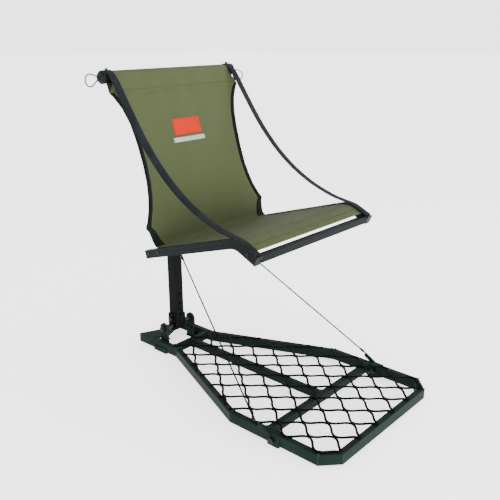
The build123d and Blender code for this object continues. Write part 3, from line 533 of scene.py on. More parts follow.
def make_camera():
    back = Vector((math.sin(CAMERA_AZIMUTH) * math.cos(CAMERA_ELEVATION),
                   -math.cos(CAMERA_AZIMUTH) * math.cos(CAMERA_ELEVATION), math.sin(CAMERA_ELEVATION)))
    right = Vector((math.cos(CAMERA_AZIMUTH), math.sin(CAMERA_AZIMUTH), 0))
    up = back.cross(right)
    turn_c, turn_s = math.cos(CAMERA_ROLL), math.sin(CAMERA_ROLL)
    right, up = right * turn_c + up * turn_s, up * turn_c - right * turn_s
    data = bpy.data.cameras.new("camera")
    data.lens, data.sensor_width = CAMERA_LENS, 36.0
    data.clip_start, data.clip_end = 0.05, 50.0
    camera = bpy.data.objects.new("camera", data)
    camera.matrix_world = Matrix.Translation(CAMERA_AT) @ Matrix((right, up, back)).transposed().to_4x4()
    bpy.context.scene.collection.objects.link(camera)
    bpy.context.scene.camera = camera


def soft_light(name, at, aim, width, height, watts):
    data = bpy.data.lights.new(name, "AREA")
    data.shape, data.size, data.size_y, data.energy = "RECTANGLE", width, height, watts
    light = bpy.data.objects.new(name, data)
    light.matrix_world = (Matrix.Translation(at)
                          @ (Vector(aim) - Vector(at)).to_track_quat("-Z", "Y").to_matrix().to_4x4())
    bpy.context.scene.collection.objects.link(light)


def make_studio():
    """A glowing pale floor and horizon, two soft lights low in front and a weak one above."""
    world = bpy.data.worlds.new("studio")
    world.use_nodes = True
    world.node_tree.nodes.clear()
    sky = Graph(world.node_tree)
    direction = sky.node("ShaderNodeTexCoord", out="Generated")
    high = sky.node("ShaderNodeSeparateXYZ", {}, {0: direction}, out="Z")
    strength = sky.node("ShaderNodeMapRange", {"clamp": True},
                        {"Value": high, "From Min": 0.14, "From Max": 0.5,
                         "To Min": HORIZON_GLOW, "To Max": ZENITH_GLOW})
    glow = sky.node("ShaderNodeBackground", {}, {"Color": (1, 1, 1, 1), "Strength": strength})
    sky.node("ShaderNodeOutputWorld", {}, {"Surface": glow})
    bpy.context.scene.world = world
    for light in SOFT_LIGHTS:
        soft_light(*light)
    corners = [(x * FLOOR_REACH, y * FLOOR_REACH, 0) for x, y in ((-1, -1), (1, -1), (1, 1), (-1, 1))]
    floor = mesh_from("studio_floor", corners, [(0, 1, 2, 3)], floor_finish())


# ---------------------------------------------------------------- cables
def wire_tube(name, points, radius, strands, lay, depth, around, step, finish):
    """A stranded cable along the line: a lobed section that turns once in each lay, as deep as depth."""
    path, along = even_steps(points, step)
    tangent = np.gradient(path, axis=0)
    tangent /= np.linalg.norm(tangent, axis=1)[:, None]
    side = np.cross(tangent[0], (0.13, 0.31, 0.94))
    rows, groove = [], []
    angle = np.arange(around) * 2 * math.pi / around
    for i, (p, t) in enumerate(zip(path, tangent)):
        side = side - t * (side @ t)
        side /= np.linalg.norm(side)
        up = np.cross(t, side)
        low = np.abs(np.sin(strands / 2 * (angle - 2 * math.pi * along[i] / lay)))
        reach = radius * (1 - depth * (1 - low) ** 2)
        rows.append(p + np.outer(reach * np.cos(angle), side) + np.outer(reach * np.sin(angle), up))
        groove.append(1 - low)
    points = list(np.concatenate(rows)) + [path[0], path[-1]]
    faces = grid_faces(len(path), around, wrap=True)
    first, last, start = len(points) - 2, len(points) - 1, (len(path) - 1) * around
    for j in range(around):
        k = (j + 1) % around
        faces += [(k, j, first), (start + j, start + k, last)]
    piece = mesh_from(name, points, faces, finish)
    layer = piece.data.attributes.new("groove", "FLOAT", "POINT")
    layer.data.foreach_set("value", np.concatenate(groove + [[1, 1]]).astype(np.float32))
    return piece, path, along[-1]


# the taut cable's line on the right side: the lug under the hinge bar, and the tip of the clamp's tab
CABLE_TOP, CABLE_BOTTOM = Vector((0.110, 0.223, 0.394)), Vector((0.2724, -0.236, 0.047))
CABLE_D = 0.0044
CABLE_LAY = {"strands": 7, "lay": 0.022, "depth": 0.10, "around": 28, "step": 0.004, "finish": CABLE_BLACK}

# a cap's wire loop, as (out from the cap's nose, up) from the middle of the nose to the end of the loop
LOOP_ROUTE = [(0.000, 0.0022), (0.010, 0.0062), (0.021, 0.0140), (0.033, 0.0186), (0.0445, 0.0130),
              (0.0490, 0.000), (0.0445, -0.0130), (0.033, -0.0186), (0.021, -0.0140), (0.010, -0.0062),
              (0.000, -0.0022)]
LOOP_D = 0.0036
LOOP_LAY = {"strands": 6, "lay": 0.024, "depth": 0.22, "around": 36, "step": 0.0012, "finish": CABLE_STEEL}
# which way each loop hangs from its nose: outward, towards the tree, up
LOOP_HANG = {"left": (0.980, 0.0, -0.197), "right": (0.677, -0.290, -0.677)}


def make_cables():
    for side, sign in SIDES.items():
        flip = Vector((sign, 1, 1))
        top, bottom = CABLE_TOP * flip, CABLE_BOTTOM * flip
        points = [top.lerp(bottom, share) for share in (0, 1 / 3, 2 / 3, 1)]
        cable, path, length = wire_tube("taut_cable_" + side, smooth_route(points), CABLE_D / 2, **CABLE_LAY)
        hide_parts("cable_" + side)
        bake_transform(cable)


def make_wire_loops():
    nose_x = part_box("bar_caps")[1].x
    for side, sign in SIDES.items():
        nose = Vector((sign * nose_x, BAR.y, BAR.z))
        out = Vector(LOOP_HANG[side]) * Vector((sign, 1, 1))
        up = (Vector((0, 0, 1)) - out * out.z).normalized()
        points = [nose + out * a + up * b for a, b in LOOP_ROUTE]
        loop, path, length = wire_tube("steel_loop_" + side, smooth_route(points), LOOP_D / 2, **LOOP_LAY)
        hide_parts("wire_loop_" + side)
        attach(loop, MAST)
        points[0]


# ---------------------------------------------------------------- deck
def edge_line(p, q, inset):
    """(a, b, c) such that a |x| + b y + c is below 0 inside the frame edge p-q moved in by inset."""
    along = Vector((q[0] - p[0], q[1] - p[1])).normalized()
    out = Vector((along.y, -along.x))
    return out.x, out.y, -(out.x * p[0] + out.y * p[1]) + inset


def make_deck():
    """Expanded metal: each strand is a wave along Y that touches its neighbours at the knots."""
    front, side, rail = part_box("front_tube"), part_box("side_tube_right"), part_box("rear_rail_right")
    corners = [(0, front[0].y), (front[1].x, front[0].y), (side[1].x, side[0].y),
               (side[1].x, side[1].y), (rail[1].x, rail[0].y)]
    lines = [edge_line(p, q, TUBE_W * 0.42) for p, q in zip(corners, corners[1:])]
    rear_y = middle("rear_cross_bar").y
    lines.append((0.0, 1.0, -rear_y))
    names = ["front_edge", "corner_edge", "side_edge", "flare_edge", "rear_edge"]
    s = Steps("expanded_metal", pitch_x=0.084, pitch_y=0.1027, strand_width=0.0068, strand_height=0.0050,
              rounding=0.975, bond=1.25, lean=0.25, step=0.0028, back_edge=rear_y + 0.012,
              front_edge_y=front[0].y, knot_row=rear_y - 0.614, first_strand=-7, strands=14,
              height=DECK_Z + 0.0020, tack=0.0040, finish=DECK_COAT, **dict(zip(names, lines)))
    start = s.node("ShaderNodeCombineXYZ", {}, {1: s["front_edge_y"]})
    stop = s.node("ShaderNodeCombineXYZ", {}, {1: s["back_edge"]})
    line = s.node("GeometryNodeCurvePrimitiveLine", {}, {"Start": start, "End": stop})
    points = (s["back_edge"] - s["front_edge_y"]) / s["step"]
    fine = s.node("GeometryNodeResampleCurve", {}, {"Curve": line, "Count": points})
    copies = s.node("GeometryNodeDuplicateElements", {"domain": "SPLINE"},
                    {"Geometry": fine, "Amount": s["strands"]})
    number = copies.out("Duplicate Index") + s["first_strand"]
    parity = 1 - (number + 100).maths("MODULO", 2.0) * 2
    y = s.node("ShaderNodeSeparateXYZ", {}, {0: s.node("GeometryNodeInputPosition")}, out="Y")
    phase = (y - s["knot_row"]) * (2 * math.pi) / s["pitch_y"]
    slant = (phase.maths("COSINE") * s["rounding"]).maths("ARCSINE") / s["rounding"].maths("ARCSINE")
    wave = (slant * s["bond"]).maths("TANH") / s["bond"].maths("TANH")
    swing = s["pitch_x"] / 4 - s["strand_width"] * 0.42
    x = (number + 0.5) * s["pitch_x"] / 2 - parity * wave * swing
    place = s.node("ShaderNodeCombineXYZ", {}, {0: x, 1: y, 2: s["height"]})
    waves = s.node("GeometryNodeSetPosition", {}, {"Geometry": copies, "Position": place})
    edges = s.node("GeometryNodeCurveToMesh", {}, {"Curve": waves})
    at = s.node("ShaderNodeSeparateXYZ", {}, {0: s.node("GeometryNodeInputPosition")})
    here = s.node("ShaderNodeCombineXYZ", {}, {0: at.maths("ABSOLUTE"), 1: at.out("Y"), 2: 1.0})
    beyond = None
    for name in names:
        past = s.node("ShaderNodeVectorMath", {"operation": "DOT_PRODUCT"}, {0: here, 1: s[name]},
                      out="Value")
        beyond = past if beyond is None else beyond.maths("MAXIMUM", past)
    kept = s.node("GeometryNodeDeleteGeometry", {"domain": "POINT"},
                  {"Geometry": edges, "Selection": beyond > 0.0})
    strands = s.node("GeometryNodeMeshToCurve", {}, {"Mesh": kept})
    upright = s.node("GeometryNodeSetCurveNormal", {"mode": "Z_UP"}, {"Curve": strands})
    here_y = s.node("ShaderNodeSeparateXYZ", {}, {0: s.node("GeometryNodeInputPosition")}, out="Y")
    tilt = ((here_y - s["knot_row"]) * (2 * math.pi) / s["pitch_y"]).maths("SINE") * s["lean"]
    leaned = s.node("GeometryNodeSetCurveTilt", {}, {"Curve": upright, "Tilt": tilt})
    profile = s.node("GeometryNodeCurvePrimitiveQuadrilateral", {}, {"Width": s["strand_width"],
                                                                     "Height": s["strand_height"]})
    profile = s.node("GeometryNodeFilletCurve", {}, {"Curve": profile, "Radius": s["strand_height"] * 0.28})
    bars = s.node("GeometryNodeCurveToMesh", {},
                  {"Curve": leaned, "Profile Curve": profile, "Fill Caps": True})
    ends = s.node("GeometryNodeCurveEndpointSelection", {}, {"Start Size": 1, "End Size": 1})
    ball = s.node("GeometryNodeMeshIcoSphere", {}, {"Radius": s["tack"], "Subdivisions": 2})
    flat = s.node("FunctionNodeRandomValue", {"data_type": "FLOAT_VECTOR"},
                  {0: (0.9, 0.8, 0.55), 1: (1.5, 1.2, 0.8), "Seed": 4})
    turn = s.node("FunctionNodeRandomValue", {"data_type": "FLOAT_VECTOR"},
                  {0: (0, 0, 0), 1: (0.2, 0.2, 6.2), "Seed": 9})
    tacks = s.node("GeometryNodeInstanceOnPoints", {},
                   {"Points": strands, "Selection": ends, "Instance": ball, "Rotation": turn, "Scale": flat})
    both = s.node("GeometryNodeJoinGeometry")
    for part in (bars, tacks):
        s.tree.links.new(part.socket, both.socket.node.inputs[0])
    s.end(both)
    deck = s.make("expanded_metal_deck")
    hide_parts("deck_mesh")
    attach(deck, PLATFORM)


HINGE_BEAD_R = 0.011
EAR_SEAM_HALF = 0.019


def make_welds():
    """Ripple beads where frame members meet, one piece for each body."""
    s = Steps("weld_beads", ripple=0.0017, bead=0.0030, finish=FRAME_COAT)
    joints = s.node("GeometryNodeMeshToCurve", {}, {"Mesh": s.given})
    drops = s.node("GeometryNodeResampleCurve", {"mode": "LENGTH"}, {"Curve": joints, "Length": s["ripple"]})
    along = s.node("GeometryNodeInputTangent")
    turn = s.node("FunctionNodeAlignEulerToVector", {"axis": "X"}, {"Vector": along})
    ball = s.node("GeometryNodeMeshUVSphere", {}, {"Segments": 8, "Rings": 5, "Radius": s["bead"]})
    scale = s.node("FunctionNodeRandomValue", {"data_type": "FLOAT_VECTOR"},
                   {0: (0.55, 0.85, 0.45), 1: (0.7, 1.1, 0.62), "Seed": 3})
    beads = s.node("GeometryNodeInstanceOnPoints", {}, {"Points": drops, "Instance": ball, "Rotation": turn,
                                                        "Scale": scale})
    s.end(beads)
    lines = []
    spine, cross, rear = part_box("spine_tube"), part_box("cross_tube"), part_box("rear_cross_bar")
    front, side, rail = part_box("front_tube"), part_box("side_tube_right"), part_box("rear_rail_right")
    ear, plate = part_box("hinge_ear_right"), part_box("vee_plate")
    top, pivot_y = DECK_Z + 0.0003, middle("pivot_bolt").y
    for y in (spine[0].y, spine[1].y):
        lines.append([(spine[0].x, y, top), (spine[1].x, y, top)])
    for sign in (-1, 1):
        lines.append([(sign * cross[1].x, cross[0].y, top), (sign * cross[1].x, cross[1].y, top)])
        lines.append([(sign * rear[1].x, rear[0].y, top), (sign * rear[1].x, rear[1].y, top)])
        lines.append([(sign * ear[0].x, pivot_y - EAR_SEAM_HALF, top),
                      (sign * ear[0].x, pivot_y + EAR_SEAM_HALF, top)])
        for outer, inset in (((front[1].x, front[0].y), (0.4, 0.9)), ((side[1].x, side[0].y), (1.0, 0.4)),
                             ((side[1].x, side[1].y), (1.0, -0.2)), ((rail[1].x, rail[0].y), (1.0, -0.2))):
            x, y = outer
            inward = (x - TUBE_W * inset[0], y + TUBE_W * inset[1])
            lines.append([(sign * x * 0.999, y, top), (sign * inward[0], inward[1], top)])
    for x in (plate[0].x, plate[1].x):
        lines.append([(x, plate[0].y, top), (x, plate[1].y - 0.04, top)])
    beads = s.make("weld_beads_platform", polyline_mesh("weld_lines", lines))
    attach(beads, PLATFORM)

    mast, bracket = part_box("mast_tube"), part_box("seat_bracket_right")
    lines = []
    for sign in (-1, 1):
        lines.append([(sign * mast[1].x, mast[0].y, mast[1].z), (sign * mast[1].x, mast[1].y, mast[1].z)])
        lines.append([(sign * (bracket[1].x - 0.0005), HINGE.y + HINGE_BEAD_R * math.cos(a),
                       HINGE.z + HINGE_BEAD_R * math.sin(a)) for a in np.linspace(0, 2 * math.pi, 25)])
    lines.append([(mast[0].x, mast[0].y, mast[1].z), (mast[1].x, mast[0].y, mast[1].z)])
    beads = s.make("weld_beads_mast", polyline_mesh("weld_lines_mast", lines))
    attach(beads, MAST)


# ---------------------------------------------------------------- sling
CLOTH_T = 0.0012
BAR_CLEAR = 0.0004
HEM_DROP = 0.043              # bar's middle line down to the hem seam
POCKET_GAP = 0.0022
CREASE_BEND = 0.020
SLOT_DEPTH = 0.0036           # rail's top edge down to the middle of the cloth in the rail's slot
SEAT_HALF = RAIL_IN + 0.0045  # the cloth's edge lies in the slot
CREASE_HALF = RAIL_IN - 0.0018
CORNER_Z, GUSSET_TOP_Z, GUSSET_END_Z = (HINGE.z + up for up in (0.4715, 0.096, 0.043))
PATCH_TOP_Z, PATCH_LOW_Z, PATCH_HALF = HINGE.z + 0.383, HINGE.z + 0.334, 0.056
TAG_TOP_Z, TAG_LOW_Z, TAG_HALF = HINGE.z + 0.327, HINGE.z + 0.313, 0.066
TAPE_W, TAPE_PROUD = 0.0150, 0.0006
GUSSET_W, GUSSET_PROUD = 0.016, 0.0012      # the gusset is twice this wide at its foot
POCKET_HALF, POCKET_SEAM = 0.2455, 0.0065   # half the pocket seam's length, and half its width
FRONT_HEM_W, FRONT_HEM_INSET = 0.022, 0.006

# half width of the back at a height over the hinge bar: round the bar, pocket's corner, waist, bottom corner
BACK_EDGE = [(0.535, 0.2345), (0.512, 0.2355), (0.4715, 0.2630), (0.462, 0.2535), (0.430, 0.2335),
             (0.385, 0.2185), (0.335, 0.2120), (0.275, 0.2090), (0.222, 0.2110), (0.180, 0.2185),
             (0.148, 0.2280), (0.116, 0.2425), (0.096, 0.2550), (0.087, 0.2475), (0.068, 0.2430),
             (0.040, CREASE_HALF)]


def back_half(z):
    table = np.array(BACK_EDGE[::-1])
    return float(np.interp(z - HINGE.z, table[:, 0], table[:, 1]))


def between(a, b, t):
    return a[0] + (b[0] - a[0]) * t, a[1] + (b[1] - a[1]) * t


def sling_line():
    """Middle of the cloth as (y, z), from the hem behind to the seat's front, and each point's part."""
    wrap = BAR_R + BAR_CLEAR + CLOTH_T / 2
    crease = (CREASE_Y, rail_top(CREASE_Y) - SLOT_DEPTH + 0.004)

    def tangent_angle(p, side):
        reach = math.hypot(p[0] - BAR.y, p[1] - BAR.z)
        return math.atan2(p[1] - BAR.z, p[0] - BAR.y) + side * math.acos(wrap / reach)

    def on_bar(a):
        return BAR.y + wrap * math.cos(a), BAR.z + wrap * math.sin(a)
    front = tangent_angle(crease, -1) + 2 * math.pi
    top_front = on_bar(front)
    share = (top_front[1] - (BAR.z - HEM_DROP)) / (top_front[1] - crease[1])
    hem = (top_front[0] + (crease[0] - top_front[0]) * share + POCKET_GAP, BAR.z - HEM_DROP)
    rear = tangent_angle(hem, 1)
    points, parts = [], []

    def run(part, made):
        points.extend(made)
        parts.extend([part] * len(made))
    start = on_bar(rear)
    run("pocket", [between(hem, start, t) for t in np.linspace(0, 1, 12)[:-1]])
    run("bar", [on_bar(a) for a in np.linspace(rear, front, 30)])
    length = math.dist(top_front, crease)
    down = ((crease[0] - top_front[0]) / length, (crease[1] - top_front[1]) / length)
    bend_from = (crease[0] - down[0] * CREASE_BEND, crease[1] - down[1] * CREASE_BEND)
    run("back", [between(top_front, bend_from, t) for t in np.linspace(0, 1, 112)[1:]])
    to_y = CREASE_Y - CREASE_BEND * 1.2
    bend_to = (to_y, rail_top(to_y) - SLOT_DEPTH)
    run("crease", [((1 - t) ** 2 * bend_from[0] + 2 * t * (1 - t) * crease[0] + t * t * bend_to[0],
                    (1 - t) ** 2 * bend_from[1] + 2 * t * (1 - t) * crease[1] + t * t * bend_to[1])
                   for t in np.linspace(0, 1, 12)[1:]])
    run("seat", [(y, rail_top(y) - SLOT_DEPTH) for y in np.linspace(to_y, SLING_FRONT_Y, 84)[1:]])
    return np.array(points), parts


class Sling:
    """The cloth's surface as a grid of points, and what is sewn on it."""

    columns = 69

    def __init__(self):
        line, self.parts = sling_line()
        self.along = np.concatenate([[0], np.cumsum(np.linalg.norm(np.diff(line, axis=0), axis=1))])
        self.half = np.array([self.half_at(p, part) for p, part in zip(line, self.parts)])
        share = np.linspace(-1, 1, self.columns)
        self.points = np.zeros((len(line), self.columns, 3))
        self.points[:, :, 0] = self.half[:, None] * share[None, :]
        self.points[:, :, 1] = line[:, 0][:, None]
        self.points[:, :, 2] = line[:, 1][:, None]
        self.share = share
        self.flat_area = float(np.sum((self.half[1:] + self.half[:-1]) * np.diff(self.along)))
        self.sag()
        self.find_normals()
        self.hem, self.corner, self.gusset_top, self.gusset_end = (
            self.length_at(z) for z in (BAR.z - HEM_DROP, CORNER_Z, GUSSET_TOP_Z, GUSSET_END_Z))
        self.end = self.along[-1]

    def half_at(self, p, part):
        if part in ("pocket", "bar", "back"):
            return back_half(p[1])
        seat = min(1.0, max(0.0, (CREASE_Y - 0.006 - p[0]) / 0.022))
        return CREASE_HALF + (SEAT_HALF - CREASE_HALF) * seat * seat * (3 - 2 * seat)

    def sag(self):
        """Lets the cloth give between the edges that hold it, with faint pulls towards the corners."""
        back = np.array([part == "back" for part in self.parts])
        seat = np.array([part == "seat" for part in self.parts])
        across = 1 - self.share[None, :] ** 2
        at = self.along[:, None]
        u = self.share[None, :]
        for chosen, depth, direction in ((back, 0.0075, (0, 0.94, -0.34)), (seat, 0.0060, (0, 0, -1))):
            low, high = at[chosen].min(), at[chosen].max()
            t = np.clip((at - low) / (high - low), 0, 1)
            belly = np.sin(math.pi * t) ** 0.8 * across * depth
            ripple = 0.0009 * np.sin(u * 9 + t * 5) * np.sin(math.pi * t) * (u ** 2)
            pull = 0.0007 * np.sin(np.abs(u) * 14 - t * 9) * np.exp(-((t - 0.08) / 0.16) ** 2) * across
            move = (belly + ripple + pull) * chosen[:, None]
            self.points += move[:, :, None] * np.array(direction)

    def find_normals(self):
        across = np.gradient(self.points, axis=1)
        down = np.gradient(self.points, axis=0)
        normal = np.cross(down, across)
        self.normals = normal / np.linalg.norm(normal, axis=2)[:, :, None]

    def half_along(self, length):
        """Half width of the cloth at this length."""
        return float(np.interp(length, self.along, self.half))

    def row(self, length):
        """Row of the grid at this length, as a number with a fraction."""
        return float(np.interp(length, self.along, np.arange(len(self.along))))

    def length_at(self, z):
        """Length along the cloth where the back is at this height."""
        back = [i for i, part in enumerate(self.parts) if part in ("back", "crease")]
        heights = self.points[back, self.columns // 2, 2]
        return float(np.interp(-z, -heights, self.along[back]))

    def at(self, x, length, lift=0.0):
        """Point of the surface x metres from its middle line, moved lift along the outward normal."""
        r = self.row(length)
        half = self.half_along(length)
        c = (x / half + 1) / 2 * (self.columns - 1)
        i, j = min(int(r), len(self.along) - 2), int(min(max(c, 0), self.columns - 2))
        a, b = r - i, c - j
        weights = ((i, j, (1 - a) * (1 - b)), (i + 1, j, a * (1 - b)),
                   (i, j + 1, (1 - a) * b), (i + 1, j + 1, a * b))
        p = sum(self.points[k, m] * w for k, m, w in weights)
        n = sum(self.normals[k, m] * w for k, m, w in weights)
        return p + n / np.linalg.norm(n) * lift


def closed_strip(name, sling, rows, lift, finish, columns=4):
    """A thin closed strip over the cloth. rows: (length along, x of one edge, x of the other)."""
    top, low, uv = [], [], []
    lifts = lift if isinstance(lift, tuple) else (-lift, lift)
    for length, x0, x1 in rows:
        for j in range(columns):
            x = x0 + (x1 - x0) * j / (columns - 1)
            round_off = 0.35 if j in (0, columns - 1) else 0.0
            mid, thick = (lifts[0] + lifts[1]) / 2, (lifts[1] - lifts[0]) / 2 * (1 - round_off)
            top.append(sling.at(x, length, mid + thick))
            low.append(sling.at(x, length, mid - thick))
            uv.append((x, length))
    piece = mesh_from(name, top + low, shell_faces(len(rows), columns), finish, uv + uv)
    fix_normals(piece)
    return piece


def fix_normals(piece):
    work = bmesh.new()
    work.from_mesh(piece.data)
    bmesh.ops.recalc_face_normals(work, faces=work.faces)
    work.to_mesh(piece.data)
    work.free()


def follow_fold(piece):
    """Bakes the place of cloth that crosses the seat's hinge into its mesh."""
    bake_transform(piece)


def make_cloth(sling):
    """The cloth itself, cut away behind the bar where the saddle holds it."""
    notch = size("top_saddle").x / 2 + 0.004
    behind = BAR.y + 0.002

    def cut_away(i, j):
        p = sling.points[i, j]
        under_bar = p[1] > behind and p[2] < BAR.z + 0.006
        part = sling.parts[i]
        return abs(p[0]) < notch and (part == "pocket" or part == "bar" and under_bar)
    uv = np.stack([(sling.share[None, :] * sling.half[:, None]).ravel(),
                   np.repeat(sling.along, sling.columns)], 1)
    faces = grid_faces(len(sling.along), sling.columns, skip=cut_away)
    cloth = mesh_from("sling_cloth", sling.points.reshape(-1, 3), faces, SLING_CLOTH, uv)
    solid = cloth.modifiers.new("thickness", "SOLIDIFY")
    solid.thickness, solid.offset = CLOTH_T, 0.0
    return apply_modifiers(cloth)


def make_bindings(sling):
    """Tape round each edge of the back, and a gusset that widens into each bottom corner."""
    made = []
    for side, sign in SIDES.items():
        tape = [(s, sign * (sling.half_along(s) - TAPE_W), sign * (sling.half_along(s) + TAPE_PROUD))
                for s in np.linspace(sling.corner, sling.gusset_end, 90)]
        made.append(closed_strip("side_binding_" + side, sling, tape, 0.0016, TAPE_WEB))
        gusset = []
        lengths = np.linspace(sling.gusset_top - 0.012, sling.gusset_end, 24)
        for k, s in enumerate(lengths):
            half = sling.half_along(s)
            width = GUSSET_W + GUSSET_W * k / (len(lengths) - 1)
            gusset.append((s, sign * (half - width), sign * (half + GUSSET_PROUD)))
        made.append(closed_strip("corner_gusset_" + side, sling, gusset, 0.0021, GUSSET_WEB, columns=8))
    return made


def make_hems(sling):
    """The seam that closes the bar's pocket, and the turned hem at the seat's front."""
    lengths = np.linspace(sling.hem - POCKET_SEAM, sling.hem + POCKET_SEAM, 4)
    pocket = [(s, -POCKET_HALF, POCKET_HALF) for s in lengths]
    half = SEAT_HALF - FRONT_HEM_INSET
    front = [(s, -half, half) for s in np.linspace(sling.end - FRONT_HEM_W, sling.end - 0.0003, 6)]
    return [closed_strip("pocket_hem", sling, pocket, (0.0002, 0.0013), SLING_CLOTH, columns=60),
            closed_strip("front_hem", sling, front, (-0.0016, 0.0011), SLING_CLOTH, columns=50)]


def make_marker(sling):
    """The plain patch on the back with its sewn border, and the pale tape below it."""
    top, low = sling.length_at(PATCH_TOP_Z), sling.length_at(PATCH_LOW_Z)
    tag_top, tag_low = sling.length_at(TAG_TOP_Z), sling.length_at(TAG_LOW_Z)
    patch = [(s, -PATCH_HALF, PATCH_HALF) for s in np.linspace(top, low, 10)]
    tag = [(s, -TAG_HALF, TAG_HALF) for s in np.linspace(tag_top, tag_low, 4)]
    x, high, foot = PATCH_HALF - 0.007, top + 0.003, low - 0.003
    seams = [[(high, -x), (high, x), (foot, x), (foot, -x), (high, -x)]]
    seams += [[(tag_top + 0.001, x), (tag_low - 0.001, x)] for x in (0.0025 - TAG_HALF, TAG_HALF - 0.0025)]
    return [closed_strip("marker_patch", sling, patch, (0.0004, 0.0017), PATCH_CLOTH, columns=16),
            closed_strip("tag_tape", sling, tag, (0.0004, 0.0012), TAG_CLOTH, columns=16),
            stitches("marker_stitches", stitch_lines(sling, seams, 0.0019), THREAD_OLIVE)]


def make_stitching(sling):
    """Two rows along each tape and each gusset, two along the pocket seam and one along the front hem."""
    black, olive = [], []
    tape = np.linspace(sling.corner + 0.004, sling.gusset_top - 0.014, 80)
    gusset = np.linspace(sling.gusset_top - 0.008, sling.gusset_end - 0.003, 20)
    for sign in SIDES.values():
        for lengths, insets in ((tape, (0.0022, 0.0080)), (gusset, (0.0035, 0.0130))):
            for inset in insets:
                black.append([(s, sign * (sling.half_along(s) - inset)) for s in lengths])
    for drop in (-0.0042, 0.0042):
        olive.append([(sling.hem + drop, x) for x in np.linspace(-0.238, 0.238, 60)])
    olive.append([(sling.end - 0.019, x) for x in np.linspace(-0.236, 0.236, 60)])
    return [stitches("binding_stitches", stitch_lines(sling, black, 0.0022), THREAD_BLACK),
            stitches("hem_stitches", stitch_lines(sling, olive, 0.0015), THREAD_OLIVE)]


def make_sling():
    sling = Sling()
    cloth = make_cloth(sling)
    extras = make_bindings(sling) + make_hems(sling) + make_marker(sling) + make_stitching(sling)
    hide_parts("sling_sleeve", "sling_back", "sling_seat")
    for piece in [cloth] + extras:
        follow_fold(piece)
    flat = (2 * float(sling.half.max()), float(sling.end))


def apply_modifiers(piece):
    """The same piece with its modifiers made part of its mesh."""
    mesh = bpy.data.meshes.new_from_object(piece.evaluated_get(bpy.context.evaluated_depsgraph_get()))
    name = piece.name
    bpy.data.objects.remove(piece)
    mesh.name = name
    return new_piece(name, mesh)


def stitch_lines(sling, lines, lift):
    """Points on the cloth for lines of (length along, x), with long runs cut short enough to follow it."""
    made = []
    for line in lines:
        fine, _ = even_steps(line, 0.006)
        made.append([sling.at(x, s, lift) for s, x in fine])
    return made


def stitches(name, lines, finish):
    """Lock stitches: short round-ended threads along each line."""
    s = Steps(name + "_steps", pitch=0.0042, thread=0.00055, reach=0.0029, finish=finish)
    seams = s.node("GeometryNodeMeshToCurve", {}, {"Mesh": s.given})
    drops = s.node("GeometryNodeResampleCurve", {"mode": "LENGTH"}, {"Curve": seams, "Length": s["pitch"]})
    along = s.node("GeometryNodeInputTangent")
    turn = s.node("FunctionNodeAlignEulerToVector", {"axis": "X"}, {"Vector": along})
    start = s.node("ShaderNodeCombineXYZ", {}, {0: s["reach"] * -0.5, 2: s["thread"] * -0.6})
    rise = s.node("ShaderNodeCombineXYZ", {}, {2: s["thread"] * 1.1})
    stop = s.node("ShaderNodeCombineXYZ", {}, {0: s["reach"] * 0.5, 2: s["thread"] * -0.6})
    arc = s.node("GeometryNodeCurveQuadraticBezier", {},
                 {"Resolution": 4, "Start": start, "Middle": rise, "End": stop})
    ring = s.node("GeometryNodeCurvePrimitiveCircle", {}, {"Resolution": 6, "Radius": s["thread"]})
    thread = s.node("GeometryNodeCurveToMesh", {}, {"Curve": arc, "Profile Curve": ring, "Fill Caps": True})
    sewn = s.node("GeometryNodeInstanceOnPoints", {}, {"Points": drops, "Instance": thread, "Rotation": turn})
    s.end(sewn)
    return s.make(name, polyline_mesh(name + "_lines", lines))


# ---------------------------------------------------------------- arm straps
STRAP_W, STRAP_T = 0.0254, 0.0021
STRAP_X_TOP, STRAP_X_END = 0.2455, RAIL_MID
STRAP_TWIST = math.radians(5)
STRAP_STEP = 0.0035
STRAP_COLUMNS = 12
STRAP_LIFT = 0.0006           # over the rail's top edge
STRAP_LIE_Y, STRAP_END_Y = HINGE.y - 0.392, RAIL_FRONT[0] + 0.004
SEAM_ROWS = 10                # rows of the strap that a sewn box covers
SEAM_BOX = [(-0.8, -0.8), (0.8, 0.8), (-0.8, 0.8), (0.8, -0.8)]
WRAP_FROM, WRAP_TO = math.radians(-70), math.radians(128)
# the strap's hang as (y, z) from the seat hinge bar, from below the top bar to where it meets the rail: these
# are control points, so the strap is drawn a few millimetres inside them
STRAP_ROUTE = [(0.092, 0.522), (0.030, 0.4295), (-0.042, 0.3315), (-0.129, 0.246), (-0.226, 0.184),
               (-0.324, 0.1475), (-0.370, 0.1395)]


def strap_line():
    """Middle of the strap as (y, z): round the bar, the hanging route, then along the rail's top."""
    wrap = BAR_R + BAR_CLEAR + CLOTH_T + 0.0003 + STRAP_T / 2
    turn = np.linspace(WRAP_FROM, WRAP_TO, 40)
    over = [(BAR.y + wrap * math.cos(a), BAR.z + wrap * math.sin(a)) for a in turn]
    hang = [(0, BAR.y + wrap * math.cos(WRAP_TO), BAR.z + wrap * math.sin(WRAP_TO))]
    hang += [(0, HINGE.y + y, HINGE.z + z) for y, z in STRAP_ROUTE]
    lie = [(y, rail_top(y) + STRAP_T / 2 + STRAP_LIFT) for y in np.linspace(STRAP_LIE_Y, STRAP_END_Y, 14)]
    hang += [(0, *lie[0])]
    hanging = [(p[1], p[2]) for p in smooth_route(hang)]
    return even_steps(over[:-1] + hanging[:-1] + lie, STRAP_STEP)


